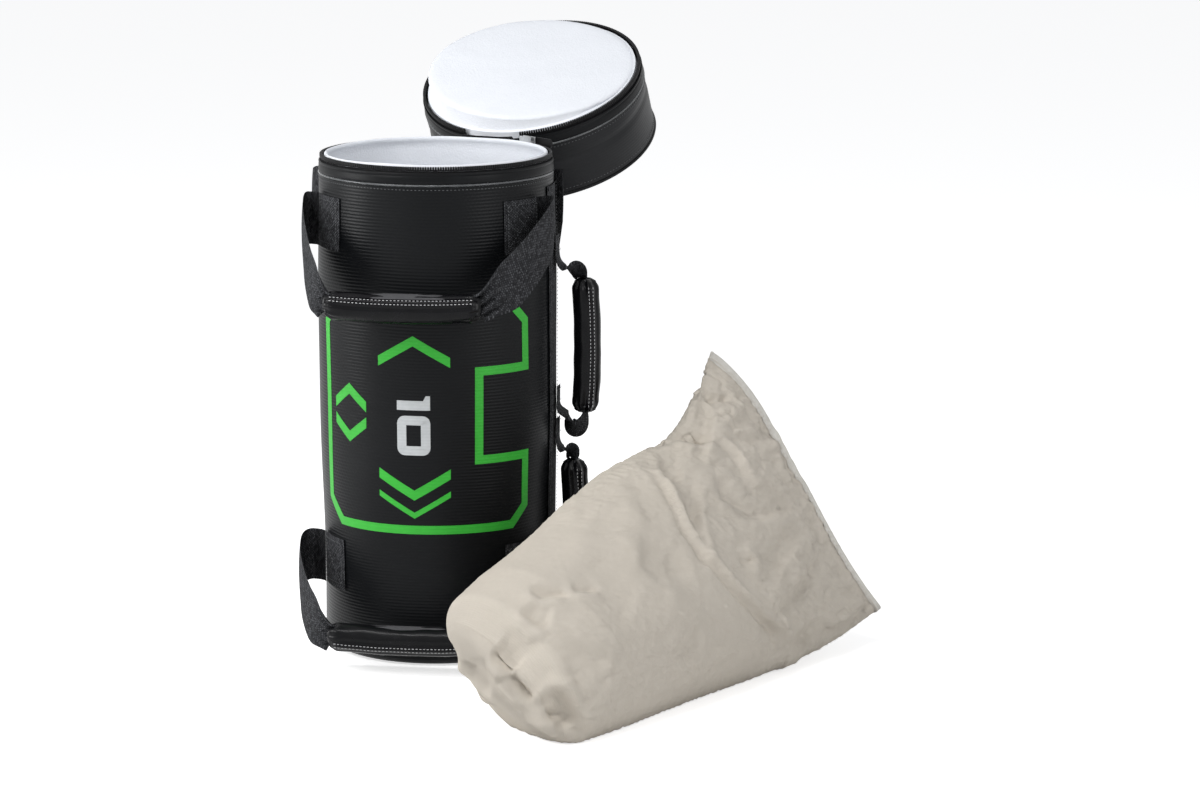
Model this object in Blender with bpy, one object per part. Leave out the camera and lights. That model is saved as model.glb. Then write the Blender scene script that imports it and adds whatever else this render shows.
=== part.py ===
"""A sandbag trainer: a round vinyl carry bag with a hinged zip lid and five handles, and the canvas
filler bag that goes inside it. The bag stands on its base at the origin, and its front is at -Y."""

import math

import bmesh
import bpy
from mathutils import Matrix, Vector

MM = 0.001

# Carry bag: the wall swells from the base to the belly and draws in again to the rim.
BODY_HEIGHT = 491 * MM
RIM_RADIUS = 115 * MM
BELLY_SWELL = 2 * MM
BELLY_RADIUS = RIM_RADIUS + BELLY_SWELL
BELLY_HEIGHT = 330 * MM
BASE_TAPER = 1 * MM
BASE_RADIUS = RIM_RADIUS - BASE_TAPER
VINYL = 1.5 * MM
BASE_EDGE_ROUND = 10 * MM
WALL_STATION_SHARES = (0.2, 0.42, 0.68, 0.86)
FIT = 0.3 * MM
RING_STEPS = 48

# Foam lining and base pad.
LINER_THICKNESS = 5.2 * MM
BASE_PAD_THICKNESS = 8 * MM
BASE_DISC_THICKNESS = 1.8 * MM

# Zip: two rows of teeth on tapes, the body's row facing up and the lid's facing down.
ZIP_INSET = 2.2 * MM
ZIP_RADIUS = RIM_RADIUS - ZIP_INSET
TAPE_THICKNESS = 0.8 * MM
TAPE_HEIGHT = 11 * MM
TOOTH_DEPTH = 3 * MM
TOOTH_HEIGHT = 3 * MM
BEAD_HEIGHT = 1.3 * MM
TEETH_PER_STEP = 3
TOOTH_SHARES = ((0.16, 0), (0.3, 1), (0.7, 1), (0.84, 0))
ROW_GAP = 1.8 * MM
TAPE_SHOWING = 2.2 * MM
BAND_HEIGHT = 10 * MM
PIPING_RADIUS = 1.2 * MM
STOP_LENGTH = 4 * MM

# Lid and its fabric hinge.
LID_HEIGHT = 80 * MM
LID_FLARE = 2 * MM
LID_END_RADIUS = RIM_RADIUS + LID_FLARE
LID_END_PIPING_RADIUS = 1.8 * MM
LID_DISC_THICKNESS = 1.8 * MM
HINGE_AZIMUTH = math.radians(74.5)
HINGE_OFFSET = 5.5 * MM
HINGE_WIDTH_ANGLE = math.radians(25)
HINGE_THICKNESS = 1.2 * MM
HINGE_LIP = 1 * MM
LID_OPEN = math.radians(155)
ZIP_CLEAR_STEPS = 2
PAD_SHOULDER_INSET = 3.5 * MM
PAD_SHOULDER_RADIUS = RIM_RADIUS - PAD_SHOULDER_INSET
PAD_STEP = 5 * MM
PAD_RADIUS = PAD_SHOULDER_RADIUS - PAD_STEP
PAD_PROUD_AT_HINGE = 15 * MM
PAD_RECESS_OPPOSITE = 1 * MM

# Slider and pull.
SLIDER_AZIMUTH = math.radians(46)
SLIDER_LENGTH = 18 * MM
SLIDER_PLATE = 1.2 * MM
SLIDER_INNER_PLATE = 1 * MM
SLIDER_PLAY = 0.6 * MM
SLIDER_DROP = 6.6 * MM
SLIDER_RISE = 5 * MM
LIP_HEIGHT = 0.9 * MM
LIP_PLAY = 0.5 * MM
WEDGE_LENGTH = 5 * MM
WEDGE_HEIGHT = 1 * MM
CROWN_POST_WIDTH = 3 * MM
CROWN_POST_HEIGHT = 1.2 * MM
CROWN_GAP = 2 * MM
CROWN_TOP = 0.8 * MM
BAR_RADIUS = 0.8 * MM
EYE_RADIUS = 2.1 * MM
EYE_BORE_RADIUS = 1.2 * MM
EYE_HEIGHT = 4.2 * MM
EYE_PLAY = 0.2 * MM
PULL_LENGTH = 32 * MM
PULL_HALF_WIDTH = 4.5 * MM
PULL_NECK = 5 * MM
PULL_THICKNESS = 1.4 * MM

# Carrying handles, from 50 mm webbing.
WEBBING_WIDTH = 50 * MM
WEBBING_THICKNESS = 2 * MM
ANCHOR_START = math.radians(44)
ANCHOR_END = math.radians(66)
STUB_PROUD = 5 * MM
STUB_REACH = RIM_RADIUS + STUB_PROUD
STUB_GAP = 0.5 * MM
TOP_HANDLE_BELOW_RIM = 61 * MM
REAR_HANDLE_BELOW_RIM = 46 * MM
BOTTOM_HANDLE_HEIGHT = 92 * MM
GRIP_RADIUS = 14 * MM
GRIP_HALF_LENGTH = 74 * MM
GRIP_PROUD = 30 * MM
GRIP_STANDOFF = RIM_RADIUS + GRIP_PROUD
TOP_GRIP_DROP = 68 * MM
REAR_GRIP_DROP = 68 * MM
BOTTOM_GRIP_DROP = 56 * MM
GRIP_SHIFT = -8 * MM
FRONT_LEADS = ((18 * MM, 24 * MM), (15 * MM, 50 * MM))
BOTTOM_LEADS = ((34 * MM, 30 * MM), (16 * MM, 50 * MM))
REAR_LEADS = ((44 * MM, 30 * MM), (14 * MM, 50 * MM))
GATHER_START_SHARE = 0.55
LEVEL_SHARE = 0.75
LEATHER = 1.8 * MM
CORE_RECESS = 2 * MM
CORE_PLAY = 0.4 * MM
GATHERED_WIDTH = 18 * MM
GATHERED_THICKNESS = 4 * MM
SLOT_PLAY = 0.4 * MM
GRIP_SIDES = 12

# Side handles, from the same webbing folded double, on a strip sewn down the side.
SIDE_STRIP_BOTTOM = 16 * MM
SIDE_STRIP_TOP = 462 * MM
FOLDED_WIDTH = 25 * MM
FOLDED_THICKNESS = 3 * MM
SIDE_GRIP_RADIUS = 13.5 * MM
UPPER_GRIP_BELOW_RIM = (254 * MM, 125 * MM)
UPPER_GRIP_SPAN = tuple(BODY_HEIGHT - drop for drop in UPPER_GRIP_BELOW_RIM)
LOWER_GRIP_SPAN = (55 * MM, 184 * MM)
UPPER_GRIP_STANDOFF = 30.5 * MM
LOWER_GRIP_STANDOFF = 20 * MM
SIDE_GRIP_BOW = 2.5 * MM
SIDE_AXIS_STANDOFF = 4 * MM
UPPER_ROOT_RADIUS = 10.5 * MM
LOWER_ROOT_RADIUS = 8.5 * MM
ROOT_ABOVE_GRIP = 12 * MM
ROOT_BELOW_GRIP = 9 * MM
SIDE_ANCHOR_LIFT = 14 * MM
SIDE_ANCHOR_LENGTH = 20 * MM
SIDE_LEAD = 8 * MM
SIDE_TURN_DEPTH = 14 * MM
SIDE_TURN_RISE = 20 * MM
UPPER_TURN_SWELL = 0 * MM
LOWER_TURN_SWELL = 4 * MM

# Filler bag, slumped on the floor at the front right with its mouth standing up.
CANVAS = 2.5 * MM
FILLER_UPPER_EDGE = (
    Vector((50 * MM, -300 * MM, 104 * MM)),
    Vector((112 * MM, -226 * MM, 148 * MM)),
    Vector((178 * MM, -130 * MM, 199 * MM)),
    Vector((240 * MM, -40 * MM, 228 * MM)),
    Vector((268 * MM, 47 * MM, 288 * MM)),
)
FILLER_LOWER_EDGE = (
    Vector((184 * MM, -378 * MM, 3 * MM)),
    Vector((268 * MM, -226 * MM, 4 * MM)),
    Vector((336 * MM, -112 * MM, 4 * MM)),
    Vector((394 * MM, -26 * MM, 14 * MM)),
    Vector((440 * MM, 27 * MM, 37 * MM)),
)
FILLER_SIDES = 20
FILLER_STATION_SHARES = (0, 0.03, 0.12, 0.25, 0.4, 0.55, 0.7, 0.85, 0.94, 1)
FILLER_HALF_THICKNESSES = (
    26 * MM, 56 * MM, 76 * MM, 80 * MM, 75 * MM, 62 * MM, 46 * MM, 28 * MM, 16 * MM, 9 * MM,
)
FILLER_WIDTH_SHARES = (0.78, 0.96, 1, 1, 1, 1, 1, 1, 1, 1)
SAND_SHARES = (0.03, 0.55)
CLOSED_END_SHARE = 0.005
SAND_PLAY = 0.5 * MM
BINDING_WIDTH_SHARE = 0.022
BINDING_PROUD = 0.6 * MM
FASTENER_SHARES = (0.935, 0.96, 0.985)
FASTENER_THICKNESS = 1.2 * MM
FASTENER_PLAY = 1.6 * MM
FASTENER_SIDE_STEPS = (2, 8)

BOOLEAN_OVERRUN = 1 * MM

WALL_TOP = BODY_HEIGHT - TOOTH_HEIGHT - BEAD_HEIGHT - TAPE_SHOWING - BAND_HEIGHT - FIT * 2 - PIPING_RADIUS * 2
PARTING = BODY_HEIGHT + ROW_GAP / 2
TOP_HANDLE_HEIGHT = BODY_HEIGHT - TOP_HANDLE_BELOW_RIM
REAR_HANDLE_HEIGHT = BODY_HEIGHT - REAR_HANDLE_BELOW_RIM
TOP_GRIP_HEIGHT = TOP_HANDLE_HEIGHT - TOP_GRIP_DROP
REAR_GRIP_HEIGHT = REAR_HANDLE_HEIGHT - REAR_GRIP_DROP
BOTTOM_GRIP_HEIGHT = BOTTOM_HANDLE_HEIGHT - BOTTOM_GRIP_DROP


def clear_scene():
    for item in list(bpy.data.objects):
        bpy.data.objects.remove(item, do_unlink=True)


def finish(name, color, roughness, metallic=0.0):
    """A plain Principled material."""
    material = bpy.data.materials.new(name)
    material.use_nodes = True
    shader = material.node_tree.nodes["Principled BSDF"]
    shader.inputs["Base Color"].default_value = (*color, 1)
    shader.inputs["Roughness"].default_value = roughness
    shader.inputs["Metallic"].default_value = metallic
    return material


def make_object(name, bm, material, parent=None, smooth_under=35):
    """Turns a bmesh into a named object, welded and with its faces pointing out."""
    bmesh.ops.remove_doubles(bm, verts=bm.verts, dist=0.002 * MM)
    bmesh.ops.recalc_face_normals(bm, faces=bm.faces)
    mesh = bpy.data.meshes.new(name)
    bm.to_mesh(mesh)
    bm.free()
    mesh.shade_smooth()
    mesh.set_sharp_from_angle(angle=math.radians(smooth_under))
    mesh.materials.append(material)
    item = bpy.data.objects.new(name, mesh)
    bpy.context.scene.collection.objects.link(item)
    if parent:
        item.parent = parent
        mesh.transform(Matrix.Translation(-parent.location))
    return item


def turned(name, outline, material, parent=None, start=HINGE_AZIMUTH, steps=RING_STEPS, sweep_steps=None):
    """Spins an outline of (radius, height) points about Z. An outline that begins and ends on the
    axis makes a disc; any other is a closed section. A part turn gets its two ends capped."""
    bm = bmesh.new()
    verts = [bm.verts.new((radius, 0, height)) for radius, height in outline]
    solid_section = outline[0][0] > 0
    edges = [bm.edges.new(pair) for pair in zip(verts, verts[1:])]
    if solid_section:
        edges.append(bm.edges.new((verts[-1], verts[0])))
    part_turn = sweep_steps is not None
    count = sweep_steps if part_turn else steps
    spun = bmesh.ops.spin(
        bm, geom=verts + edges, cent=(0, 0, 0), axis=(0, 0, 1),
        angle=math.tau * count / steps, steps=count, use_merge=not part_turn,
    )
    if part_turn:
        bm.faces.new(verts)
        bm.faces.new([item for item in spun["geom_last"] if isinstance(item, bmesh.types.BMVert)])
    bmesh.ops.rotate(bm, verts=bm.verts, cent=(0, 0, 0), matrix=Matrix.Rotation(start, 3, "Z"))
    return make_object(name, bm, material, parent)


def loft(bm, rings, cyclic=False):
    """Skins a chain of equal rings; the ends are capped unless the chain closes on itself."""
    rows = [[bm.verts.new(point) for point in ring] for ring in rings]
    pairs = list(zip(rows, rows[1:]))
    if cyclic:
        pairs.append((rows[-1], rows[0]))
    count = len(rings[0])
    for low, high in pairs:
        for index in range(count):
            after = (index + 1) % count
            bm.faces.new((low[index], low[after], high[after], high[index]))
    if not cyclic:
        bm.faces.new(list(reversed(rows[0])))
        bm.faces.new(rows[-1])


def lofted(name, rings, material, parent=None, cyclic=False):
    bm = bmesh.new()
    loft(bm, rings, cyclic)
    return make_object(name, bm, material, parent)


def skin(bm, rings, closed_ends):
    """Skins a chain of rings with triangles that all lean one way, so that nested skins keep an even
    distance. The ends named in closed_ends, by their place in the chain, get a fan. Returns the last row."""
    rows = [[bm.verts.new(point) for point in ring] for ring in rings]
    count = len(rings[0])
    pairs = [(index, (index + 1) % count) for index in range(count)]
    for low, high in zip(rows, rows[1:]):
        for index, after in pairs:
            bm.faces.new((low[index], low[after], high[after]))
            bm.faces.new((low[index], high[after], high[index]))
    for end in closed_ends:
        middle = bm.verts.new(sum(rings[end], Vector()) / count)
        for index, after in pairs:
            bm.faces.new((middle, rows[end][after], rows[end][index]))
    return rows[-1]


def cylindrical(radius, azimuth, height):
    return Vector((radius * math.cos(azimuth), radius * math.sin(azimuth), height))


def arc_block(name, radii, heights, azimuths, material, parent=None, steps=4):
    """A curved block between two radii, two heights and two azimuths about Z."""
    rings = []
    for index in range(steps + 1):
        azimuth = azimuths[0] + (azimuths[1] - azimuths[0]) * index / steps
        corners = ((radii[0], heights[0]), (radii[1], heights[0]), (radii[1], heights[1]), (radii[0], heights[1]))
        rings.append([cylindrical(radius, azimuth, height) for radius, height in corners])
    return lofted(name, rings, material, parent)


def combine(target, tool, operation):
    """Applies a Boolean as a live modifier and keeps the tool as a hidden guide."""
    modifier = target.modifiers.new(tool.name, "BOOLEAN")
    modifier.operation = operation
    modifier.object = tool
    tool.hide_render = True
    tool.display_type = "WIRE"


def bezier(controls, share):
    """A point on the cubic through four control points."""
    a, b, c, d = controls
    rest = 1 - share
    return a * rest**3 + b * (3 * share * rest**2) + c * (3 * share**2 * rest) + d * share**3


def smooth_step(share):
    share = min(max(share, 0), 1)
    return share * share * (3 - 2 * share)


def shell_radius(height):
    """Outer radius of the wall, with half cosines from the base to the belly and on to the rim."""
    if height < BELLY_HEIGHT:
        low, share = BASE_RADIUS, height / BELLY_HEIGHT
    else:
        low, share = RIM_RADIUS, (BODY_HEIGHT - height) / (BODY_HEIGHT - BELLY_HEIGHT)
    return low + (BELLY_RADIUS - low) * (1 - math.cos(math.pi * share)) / 2


def wall_heights(top):
    return [top * share for share in WALL_STATION_SHARES] + [top]


def base_corner(inset):
    """The rounded bottom edge of the wall, inset by a thickness, from under the base outwards."""
    centre = (shell_radius(BASE_EDGE_ROUND) - BASE_EDGE_ROUND, BASE_EDGE_ROUND + FIT)
    radius = BASE_EDGE_ROUND - inset
    angles = [math.radians(angle) for angle in (-90, -60, -30, 0)]
    return [(centre[0] + radius * math.cos(a), centre[1] + radius * math.sin(a)) for a in angles]


def across_parting(outline):
    """The lid's copy of an outline of the body's rim, turned over the parting plane."""
    return [(radius, 2 * PARTING - height) for radius, height in outline]


def build_shell(vinyl, base_vinyl):
    outer = base_corner(0) + [(shell_radius(z), z) for z in wall_heights(WALL_TOP)]
    inner = base_corner(VINYL) + [(shell_radius(z) - VINYL, z) for z in wall_heights(WALL_TOP)]
    turned("shell_wall", outer + inner[::-1], vinyl)
    disc_radius = base_corner(0)[0][0] - FIT
    turned(
        "base_disc",
        [(0, 0), (disc_radius, 0), (disc_radius, BASE_DISC_THICKNESS), (0, BASE_DISC_THICKNESS)],
        base_vinyl,
    )


def liner_outer(height, tape_bottom):
    """The lining follows the wall, and runs straight behind the zip tape."""
    if height > tape_bottom:
        return ZIP_RADIUS - TAPE_THICKNESS / 2 - FIT
    return shell_radius(height) - VINYL - FIT


def build_lining(foam):
    low = BASE_DISC_THICKNESS + FIT
    pad_top = low + BASE_PAD_THICKNESS
    corner = base_corner(VINYL + FIT)
    turned(
        "foam_base_pad",
        [(0, low), (corner[0][0], low), (corner[2][0] - FIT, pad_top), (0, pad_top)],
        foam,
    )
    tape_bottom = BODY_HEIGHT - TOOTH_HEIGHT - BEAD_HEIGHT - FIT - TAPE_HEIGHT - FIT
    rebate_bottom = PARTING - SLIDER_DROP - SLIDER_PLAY
    inner_plate = ZIP_RADIUS - TOOTH_DEPTH / 2 - SLIDER_PLAY + FIT / 2 - SLIDER_INNER_PLATE
    rebate_radius = inner_plate - SLIDER_PLAY
    bottom = pad_top + FIT
    heights = [bottom] + wall_heights(WALL_TOP)[:-1] + [tape_bottom]
    outer = [(corner[3][0], bottom)] + [(liner_outer(z, tape_bottom), z) for z in heights[1:]]
    behind_tape = liner_outer(BODY_HEIGHT, tape_bottom)
    outer += [(behind_tape, tape_bottom), (behind_tape, rebate_bottom)]
    outer += [(rebate_radius, rebate_bottom), (rebate_radius, BODY_HEIGHT)]
    inner = [(shell_radius(z) - VINYL - FIT - LINER_THICKNESS, z) for z in heights[:-1] + [BODY_HEIGHT]]
    turned("foam_liner", outer + inner[::-1], foam)


def teeth_row(name, material, parent=None, facing_down=False):
    """One row of moulded teeth on its bead. Each flat length of the row carries a few teeth."""
    base = BODY_HEIGHT - TOOTH_HEIGHT - BEAD_HEIGHT
    crest = []
    for tooth in range(TEETH_PER_STEP):
        for share, up in TOOTH_SHARES:
            crest.append(((tooth + share) / TEETH_PER_STEP, base + BEAD_HEIGHT + up * TOOTH_HEIGHT))
    outline = [(0, base), (1, base), (1, base + BEAD_HEIGHT)] + crest[::-1] + [(0, base + BEAD_HEIGHT)]
    bm = bmesh.new()
    count = RING_STEPS - 2 * ZIP_CLEAR_STEPS
    step = math.tau / RING_STEPS
    first = HINGE_AZIMUTH + ZIP_CLEAR_STEPS * step
    for index in range(count):
        faces = []
        for radius in (ZIP_RADIUS - TOOTH_DEPTH / 2, ZIP_RADIUS + TOOTH_DEPTH / 2):
            ends = [cylindrical(radius, first + (index + side) * step, 0) for side in (0, 1)]
            points = [ends[0].lerp(ends[1], share) for share, _ in outline]
            heights = [2 * PARTING - z if facing_down else z for _, z in outline]
            faces.append([bm.verts.new((p.x, p.y, z)) for p, z in zip(points, heights)])
        bm.faces.new(faces[0])
        bm.faces.new(faces[1])
        size = len(outline)
        for corner in range(size):
            after = (corner + 1) % size
            at_start = outline[corner][0] == outline[after][0] == 0
            at_end = outline[corner][0] == outline[after][0] == 1
            if (at_start and index > 0) or (at_end and index < count - 1):
                continue
            bm.faces.new((faces[0][corner], faces[0][after], faces[1][after], faces[1][corner]))
    return make_object(name, bm, material, parent, smooth_under=20)


def build_rim(vinyl, piping_vinyl, tape_fabric, teeth_plastic, parent=None, facing_down=False):
    """The zip edge of the body, or of the lid when it faces down."""
    suffix = "lid" if facing_down else "body"
    place = across_parting if facing_down else list
    bead_bottom = BODY_HEIGHT - TOOTH_HEIGHT - BEAD_HEIGHT
    band_top = bead_bottom - TAPE_SHOWING
    band_bottom = band_top - BAND_HEIGHT
    band_inner = RIM_RADIUS - VINYL
    band = [(band_inner, band_bottom), (RIM_RADIUS, band_bottom), (RIM_RADIUS, band_top), (band_inner, band_top)]
    turned("rim_band_" + suffix, place(band), vinyl, parent)
    centre = (RIM_RADIUS - FIT, band_bottom - FIT - PIPING_RADIUS)
    angles = [math.radians(angle) for angle in range(-90, 270, 72)]
    cord = [(centre[0] + PIPING_RADIUS * math.cos(a), centre[1] + PIPING_RADIUS * math.sin(a)) for a in angles]
    turned("rim_piping_" + suffix, place(cord), piping_vinyl, parent)
    radii = (ZIP_RADIUS - TAPE_THICKNESS / 2, ZIP_RADIUS + TAPE_THICKNESS / 2)
    tape_top = bead_bottom - FIT
    tape_bottom = tape_top - TAPE_HEIGHT
    tape = [(radii[0], tape_bottom), (radii[1], tape_bottom), (radii[1], tape_top), (radii[0], tape_top)]
    first = HINGE_AZIMUTH + ZIP_CLEAR_STEPS * math.tau / RING_STEPS
    turned(
        "zip_tape_" + suffix, place(tape), tape_fabric, parent,
        start=first, sweep_steps=RING_STEPS - 2 * ZIP_CLEAR_STEPS,
    )
    teeth_row("zip_teeth_" + suffix, teeth_plastic, parent, facing_down)


def build_zip_stops(metal):
    """A small stop at each end of the body's row."""
    radii = (ZIP_RADIUS - TOOTH_DEPTH / 2, ZIP_RADIUS + TOOTH_DEPTH / 2)
    heights = (BODY_HEIGHT - TOOTH_HEIGHT - BEAD_HEIGHT, BODY_HEIGHT - TOOTH_HEIGHT / 2)
    row_half_gap = ZIP_CLEAR_STEPS * math.tau / RING_STEPS
    length = STOP_LENGTH / ZIP_RADIUS
    play = FIT / ZIP_RADIUS
    for name, side in (("zip_stop_start", -1), ("zip_stop_end", 1)):
        near = HINGE_AZIMUTH + side * (row_half_gap - play)
        far = HINGE_AZIMUTH + side * (row_half_gap - play - length)
        arc_block(name, radii, heights, (near, far), metal, steps=1)


def build_hinge_leaf(name, material, parent=None, facing_down=False):
    """Half of the fabric hinge: sewn round the band, with a lip that reaches out to the fold line."""
    inner = RIM_RADIUS + FIT
    outer = inner + HINGE_THICKNESS
    lip_top = PARTING - HINGE_LIP / 2
    bottom = BODY_HEIGHT - TOOTH_HEIGHT - BEAD_HEIGHT - TAPE_SHOWING - BAND_HEIGHT
    fold = RIM_RADIUS + HINGE_OFFSET - FIT
    rings = []
    steps = 6
    for index in range(steps + 1):
        turn = HINGE_WIDTH_ANGLE * (index / steps - 0.5)
        reach = fold / math.cos(turn)
        section = [
            (inner, bottom), (outer, bottom), (outer, lip_top - HINGE_LIP),
            (reach, lip_top - HINGE_LIP), (reach, lip_top), (inner, lip_top),
        ]
        if facing_down:
            section = across_parting(section)
        rings.append([cylindrical(radius, HINGE_AZIMUTH + turn, height) for radius, height in section])
    lofted(name, rings, material, parent)


def build_lid(vinyl, piping_vinyl, tape_fabric, teeth_plastic, foam):
    """The lid is modelled closed and then swung open on its hinge."""
    hinge = bpy.data.objects.new("lid_hinge", None)
    bpy.context.scene.collection.objects.link(hinge)
    hinge.location = cylindrical(RIM_RADIUS + HINGE_OFFSET, HINGE_AZIMUTH, PARTING)
    build_rim(vinyl, piping_vinyl, tape_fabric, teeth_plastic, hinge, facing_down=True)
    build_hinge_leaf("hinge_leaf_lid", vinyl, hinge, facing_down=True)
    low = 2 * PARTING - WALL_TOP
    end = BODY_HEIGHT + ROW_GAP + LID_HEIGHT
    high = end - 2 * LID_END_PIPING_RADIUS - FIT
    middle = (low + high) / 2
    middle_radius = (RIM_RADIUS + LID_END_RADIUS) / 2
    outer = [(RIM_RADIUS, low), (middle_radius, middle), (LID_END_RADIUS, high)]
    inner = [(radius - VINYL, height) for radius, height in outer]
    turned("lid_wall", outer + inner[::-1], vinyl, hinge)
    piping_centre = (LID_END_RADIUS - FIT, end - LID_END_PIPING_RADIUS)
    angles = [math.radians(angle) for angle in range(-90, 270, 60)]
    cord = [
        (piping_centre[0] + LID_END_PIPING_RADIUS * math.cos(a), piping_centre[1] + LID_END_PIPING_RADIUS * math.sin(a))
        for a in angles
    ]
    turned("lid_end_piping", cord, piping_vinyl, hinge)
    disc_radius = LID_END_RADIUS - LID_END_PIPING_RADIUS - 2 * FIT
    disc_low = end - LID_DISC_THICKNESS
    turned("lid_end_disc", [(0, disc_low), (disc_radius, disc_low), (disc_radius, end), (0, end)], vinyl, hinge)
    build_lid_pad(foam, hinge, disc_low - FIT)
    hinge.rotation_mode = "AXIS_ANGLE"
    hinge.rotation_axis_angle = (LID_OPEN, -math.sin(HINGE_AZIMUTH), math.cos(HINGE_AZIMUTH), 0)


def build_lid_pad(foam, hinge, top):
    """The foam plug in the lid, with its face standing proud towards the hinge."""
    shoulder = PARTING + SLIDER_RISE + SLIDER_DROP / 2
    face = BODY_HEIGHT
    outline = [
        (0, face), (PAD_RADIUS, face), (PAD_RADIUS, shoulder), (PAD_SHOULDER_RADIUS, shoulder + FIT),
        (PAD_SHOULDER_RADIUS, top), (0, top),
    ]
    pad = turned("lid_foam_pad", outline, foam, hinge)
    towards_hinge = cylindrical(1, HINGE_AZIMUTH, 0)
    for vert in pad.data.vertices:
        point = vert.co + hinge.location
        if abs(point.z - face) < FIT:
            share = (point.dot(towards_hinge) / PAD_RADIUS + 1) / 2
            vert.co.z -= PAD_RECESS_OPPOSITE + (PAD_PROUD_AT_HINGE - PAD_RECESS_OPPOSITE) * share


def lipped_plate(name, plate, lip_reach, span, metal):
    """One plate of the slider, bent round the rows, with a lip under the bead at its lower edge."""
    low, high = PARTING - SLIDER_DROP, PARTING + SLIDER_RISE
    near, far = plate
    section = [(lip_reach, low), (far, low), (far, high), (near, high), (near, low + LIP_HEIGHT)]
    section.append((lip_reach, low + LIP_HEIGHT))
    steps = 4
    rings = []
    for index in range(steps + 1):
        azimuth = span[0] + (span[1] - span[0]) * index / steps
        rings.append([cylindrical(radius, azimuth, height) for radius, height in section])
    return lofted(name, rings, metal)


def build_slider(metal):
    """The slider straddles the rows. Its wedge passes between them, and its crown holds the pull."""
    half = SLIDER_LENGTH / 2 / ZIP_RADIUS
    span = (SLIDER_AZIMUTH - half, SLIDER_AZIMUTH + half)
    outer = ZIP_RADIUS + TOOTH_DEPTH / 2 + SLIDER_PLAY
    inner = ZIP_RADIUS - TOOTH_DEPTH / 2 - SLIDER_PLAY + FIT / 2
    face = outer + SLIDER_PLATE
    outer_lip = ZIP_RADIUS + TAPE_THICKNESS / 2 + LIP_PLAY
    inner_lip = ZIP_RADIUS - TAPE_THICKNESS / 2 - LIP_PLAY - FIT / 2
    slider = lipped_plate("zip_slider", (outer, face), outer_lip, span, metal)
    inner_plate = lipped_plate("slider_inner_plate", (inner, inner - SLIDER_INNER_PLATE), inner_lip, span, metal)
    wedge_start = span[0] + FIT / ZIP_RADIUS
    wedge_span = (wedge_start, wedge_start + WEDGE_LENGTH / ZIP_RADIUS)
    wedge_heights = (PARTING - WEDGE_HEIGHT / 2, PARTING + WEDGE_HEIGHT / 2)
    plate = SLIDER_PLATE / 2
    pieces = [
        arc_block("slider_wedge", (inner - plate, outer + plate), wedge_heights, wedge_span, metal, steps=1),
        inner_plate,
    ]
    post_half = CROWN_POST_WIDTH / 2 / face
    post_span = (SLIDER_AZIMUTH - post_half, SLIDER_AZIMUTH + post_half)
    bar_centre = face + CROWN_GAP + BAR_RADIUS
    post_top = bar_centre + BAR_RADIUS + CROWN_TOP
    post_low = EYE_HEIGHT / 2 + EYE_PLAY
    for name, side in (("slider_post_low", -1), ("slider_post_high", 1)):
        post_heights = sorted((PARTING + side * post_low, PARTING + side * (post_low + CROWN_POST_HEIGHT)))
        pieces.append(arc_block(name, (face - plate, post_top), post_heights, post_span, metal, steps=1))
    bar_half = post_low + CROWN_POST_HEIGHT / 2
    pieces.append(upright_rod("slider_bar", BAR_RADIUS, bar_half, bar_centre, metal))
    for piece in pieces:
        combine(slider, piece, "UNION")
    return bar_centre


def upright_rod(name, radius, half_height, from_axis, material):
    """A short round rod standing upright at the slider."""
    bm = bmesh.new()
    bmesh.ops.create_cone(
        bm, cap_ends=True, segments=GRIP_SIDES, radius1=radius, radius2=radius, depth=2 * half_height,
    )
    bmesh.ops.translate(bm, verts=bm.verts, vec=cylindrical(from_axis, SLIDER_AZIMUTH, PARTING))
    return make_object(name, bm, material)


def build_pull(metal, bar_centre):
    """The pull tab hangs on the slider's bar by a round eye and lies along the band."""
    out = cylindrical(1, SLIDER_AZIMUTH, 0)
    along = Vector((math.sin(SLIDER_AZIMUTH), -math.cos(SLIDER_AZIMUTH), 0))
    root = cylindrical(bar_centre, SLIDER_AZIMUTH, PARTING)
    neck = EYE_HEIGHT / 2
    corner = PULL_HALF_WIDTH / 2
    half_outline = [
        (EYE_BORE_RADIUS / 2, neck), (PULL_NECK, neck), (PULL_NECK + corner, PULL_HALF_WIDTH),
        (PULL_LENGTH - corner, PULL_HALF_WIDTH), (PULL_LENGTH, corner),
    ]
    outline = half_outline + [(x, -z) for x, z in reversed(half_outline)]
    rings = []
    for side in (-1, 1):
        shift = root + out * (side * PULL_THICKNESS / 2)
        rings.append([shift + along * x + Vector((0, 0, z)) for x, z in outline])
    pull = lofted("zip_pull", rings, metal)
    eye = upright_rod("pull_eye", EYE_RADIUS, EYE_HEIGHT / 2, bar_centre, metal)
    bore = upright_rod("pull_bore", EYE_BORE_RADIUS, EYE_HEIGHT / 2 + BOOLEAN_OVERRUN, bar_centre, metal)
    combine(pull, eye, "UNION")
    combine(pull, bore, "DIFFERENCE")


def ribbon_ring(point, across, normal, width, thickness):
    """Four corners of a webbing section."""
    side = across * (width / 2)
    up = normal * (thickness / 2)
    return [point - side - up, point + side - up, point + side + up, point - side + up]


def mirrored(rings, side_x, side_y):
    return [[Vector((p.x * side_x, p.y * side_y, p.z)) for p in ring] for ring in rings]


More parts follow.
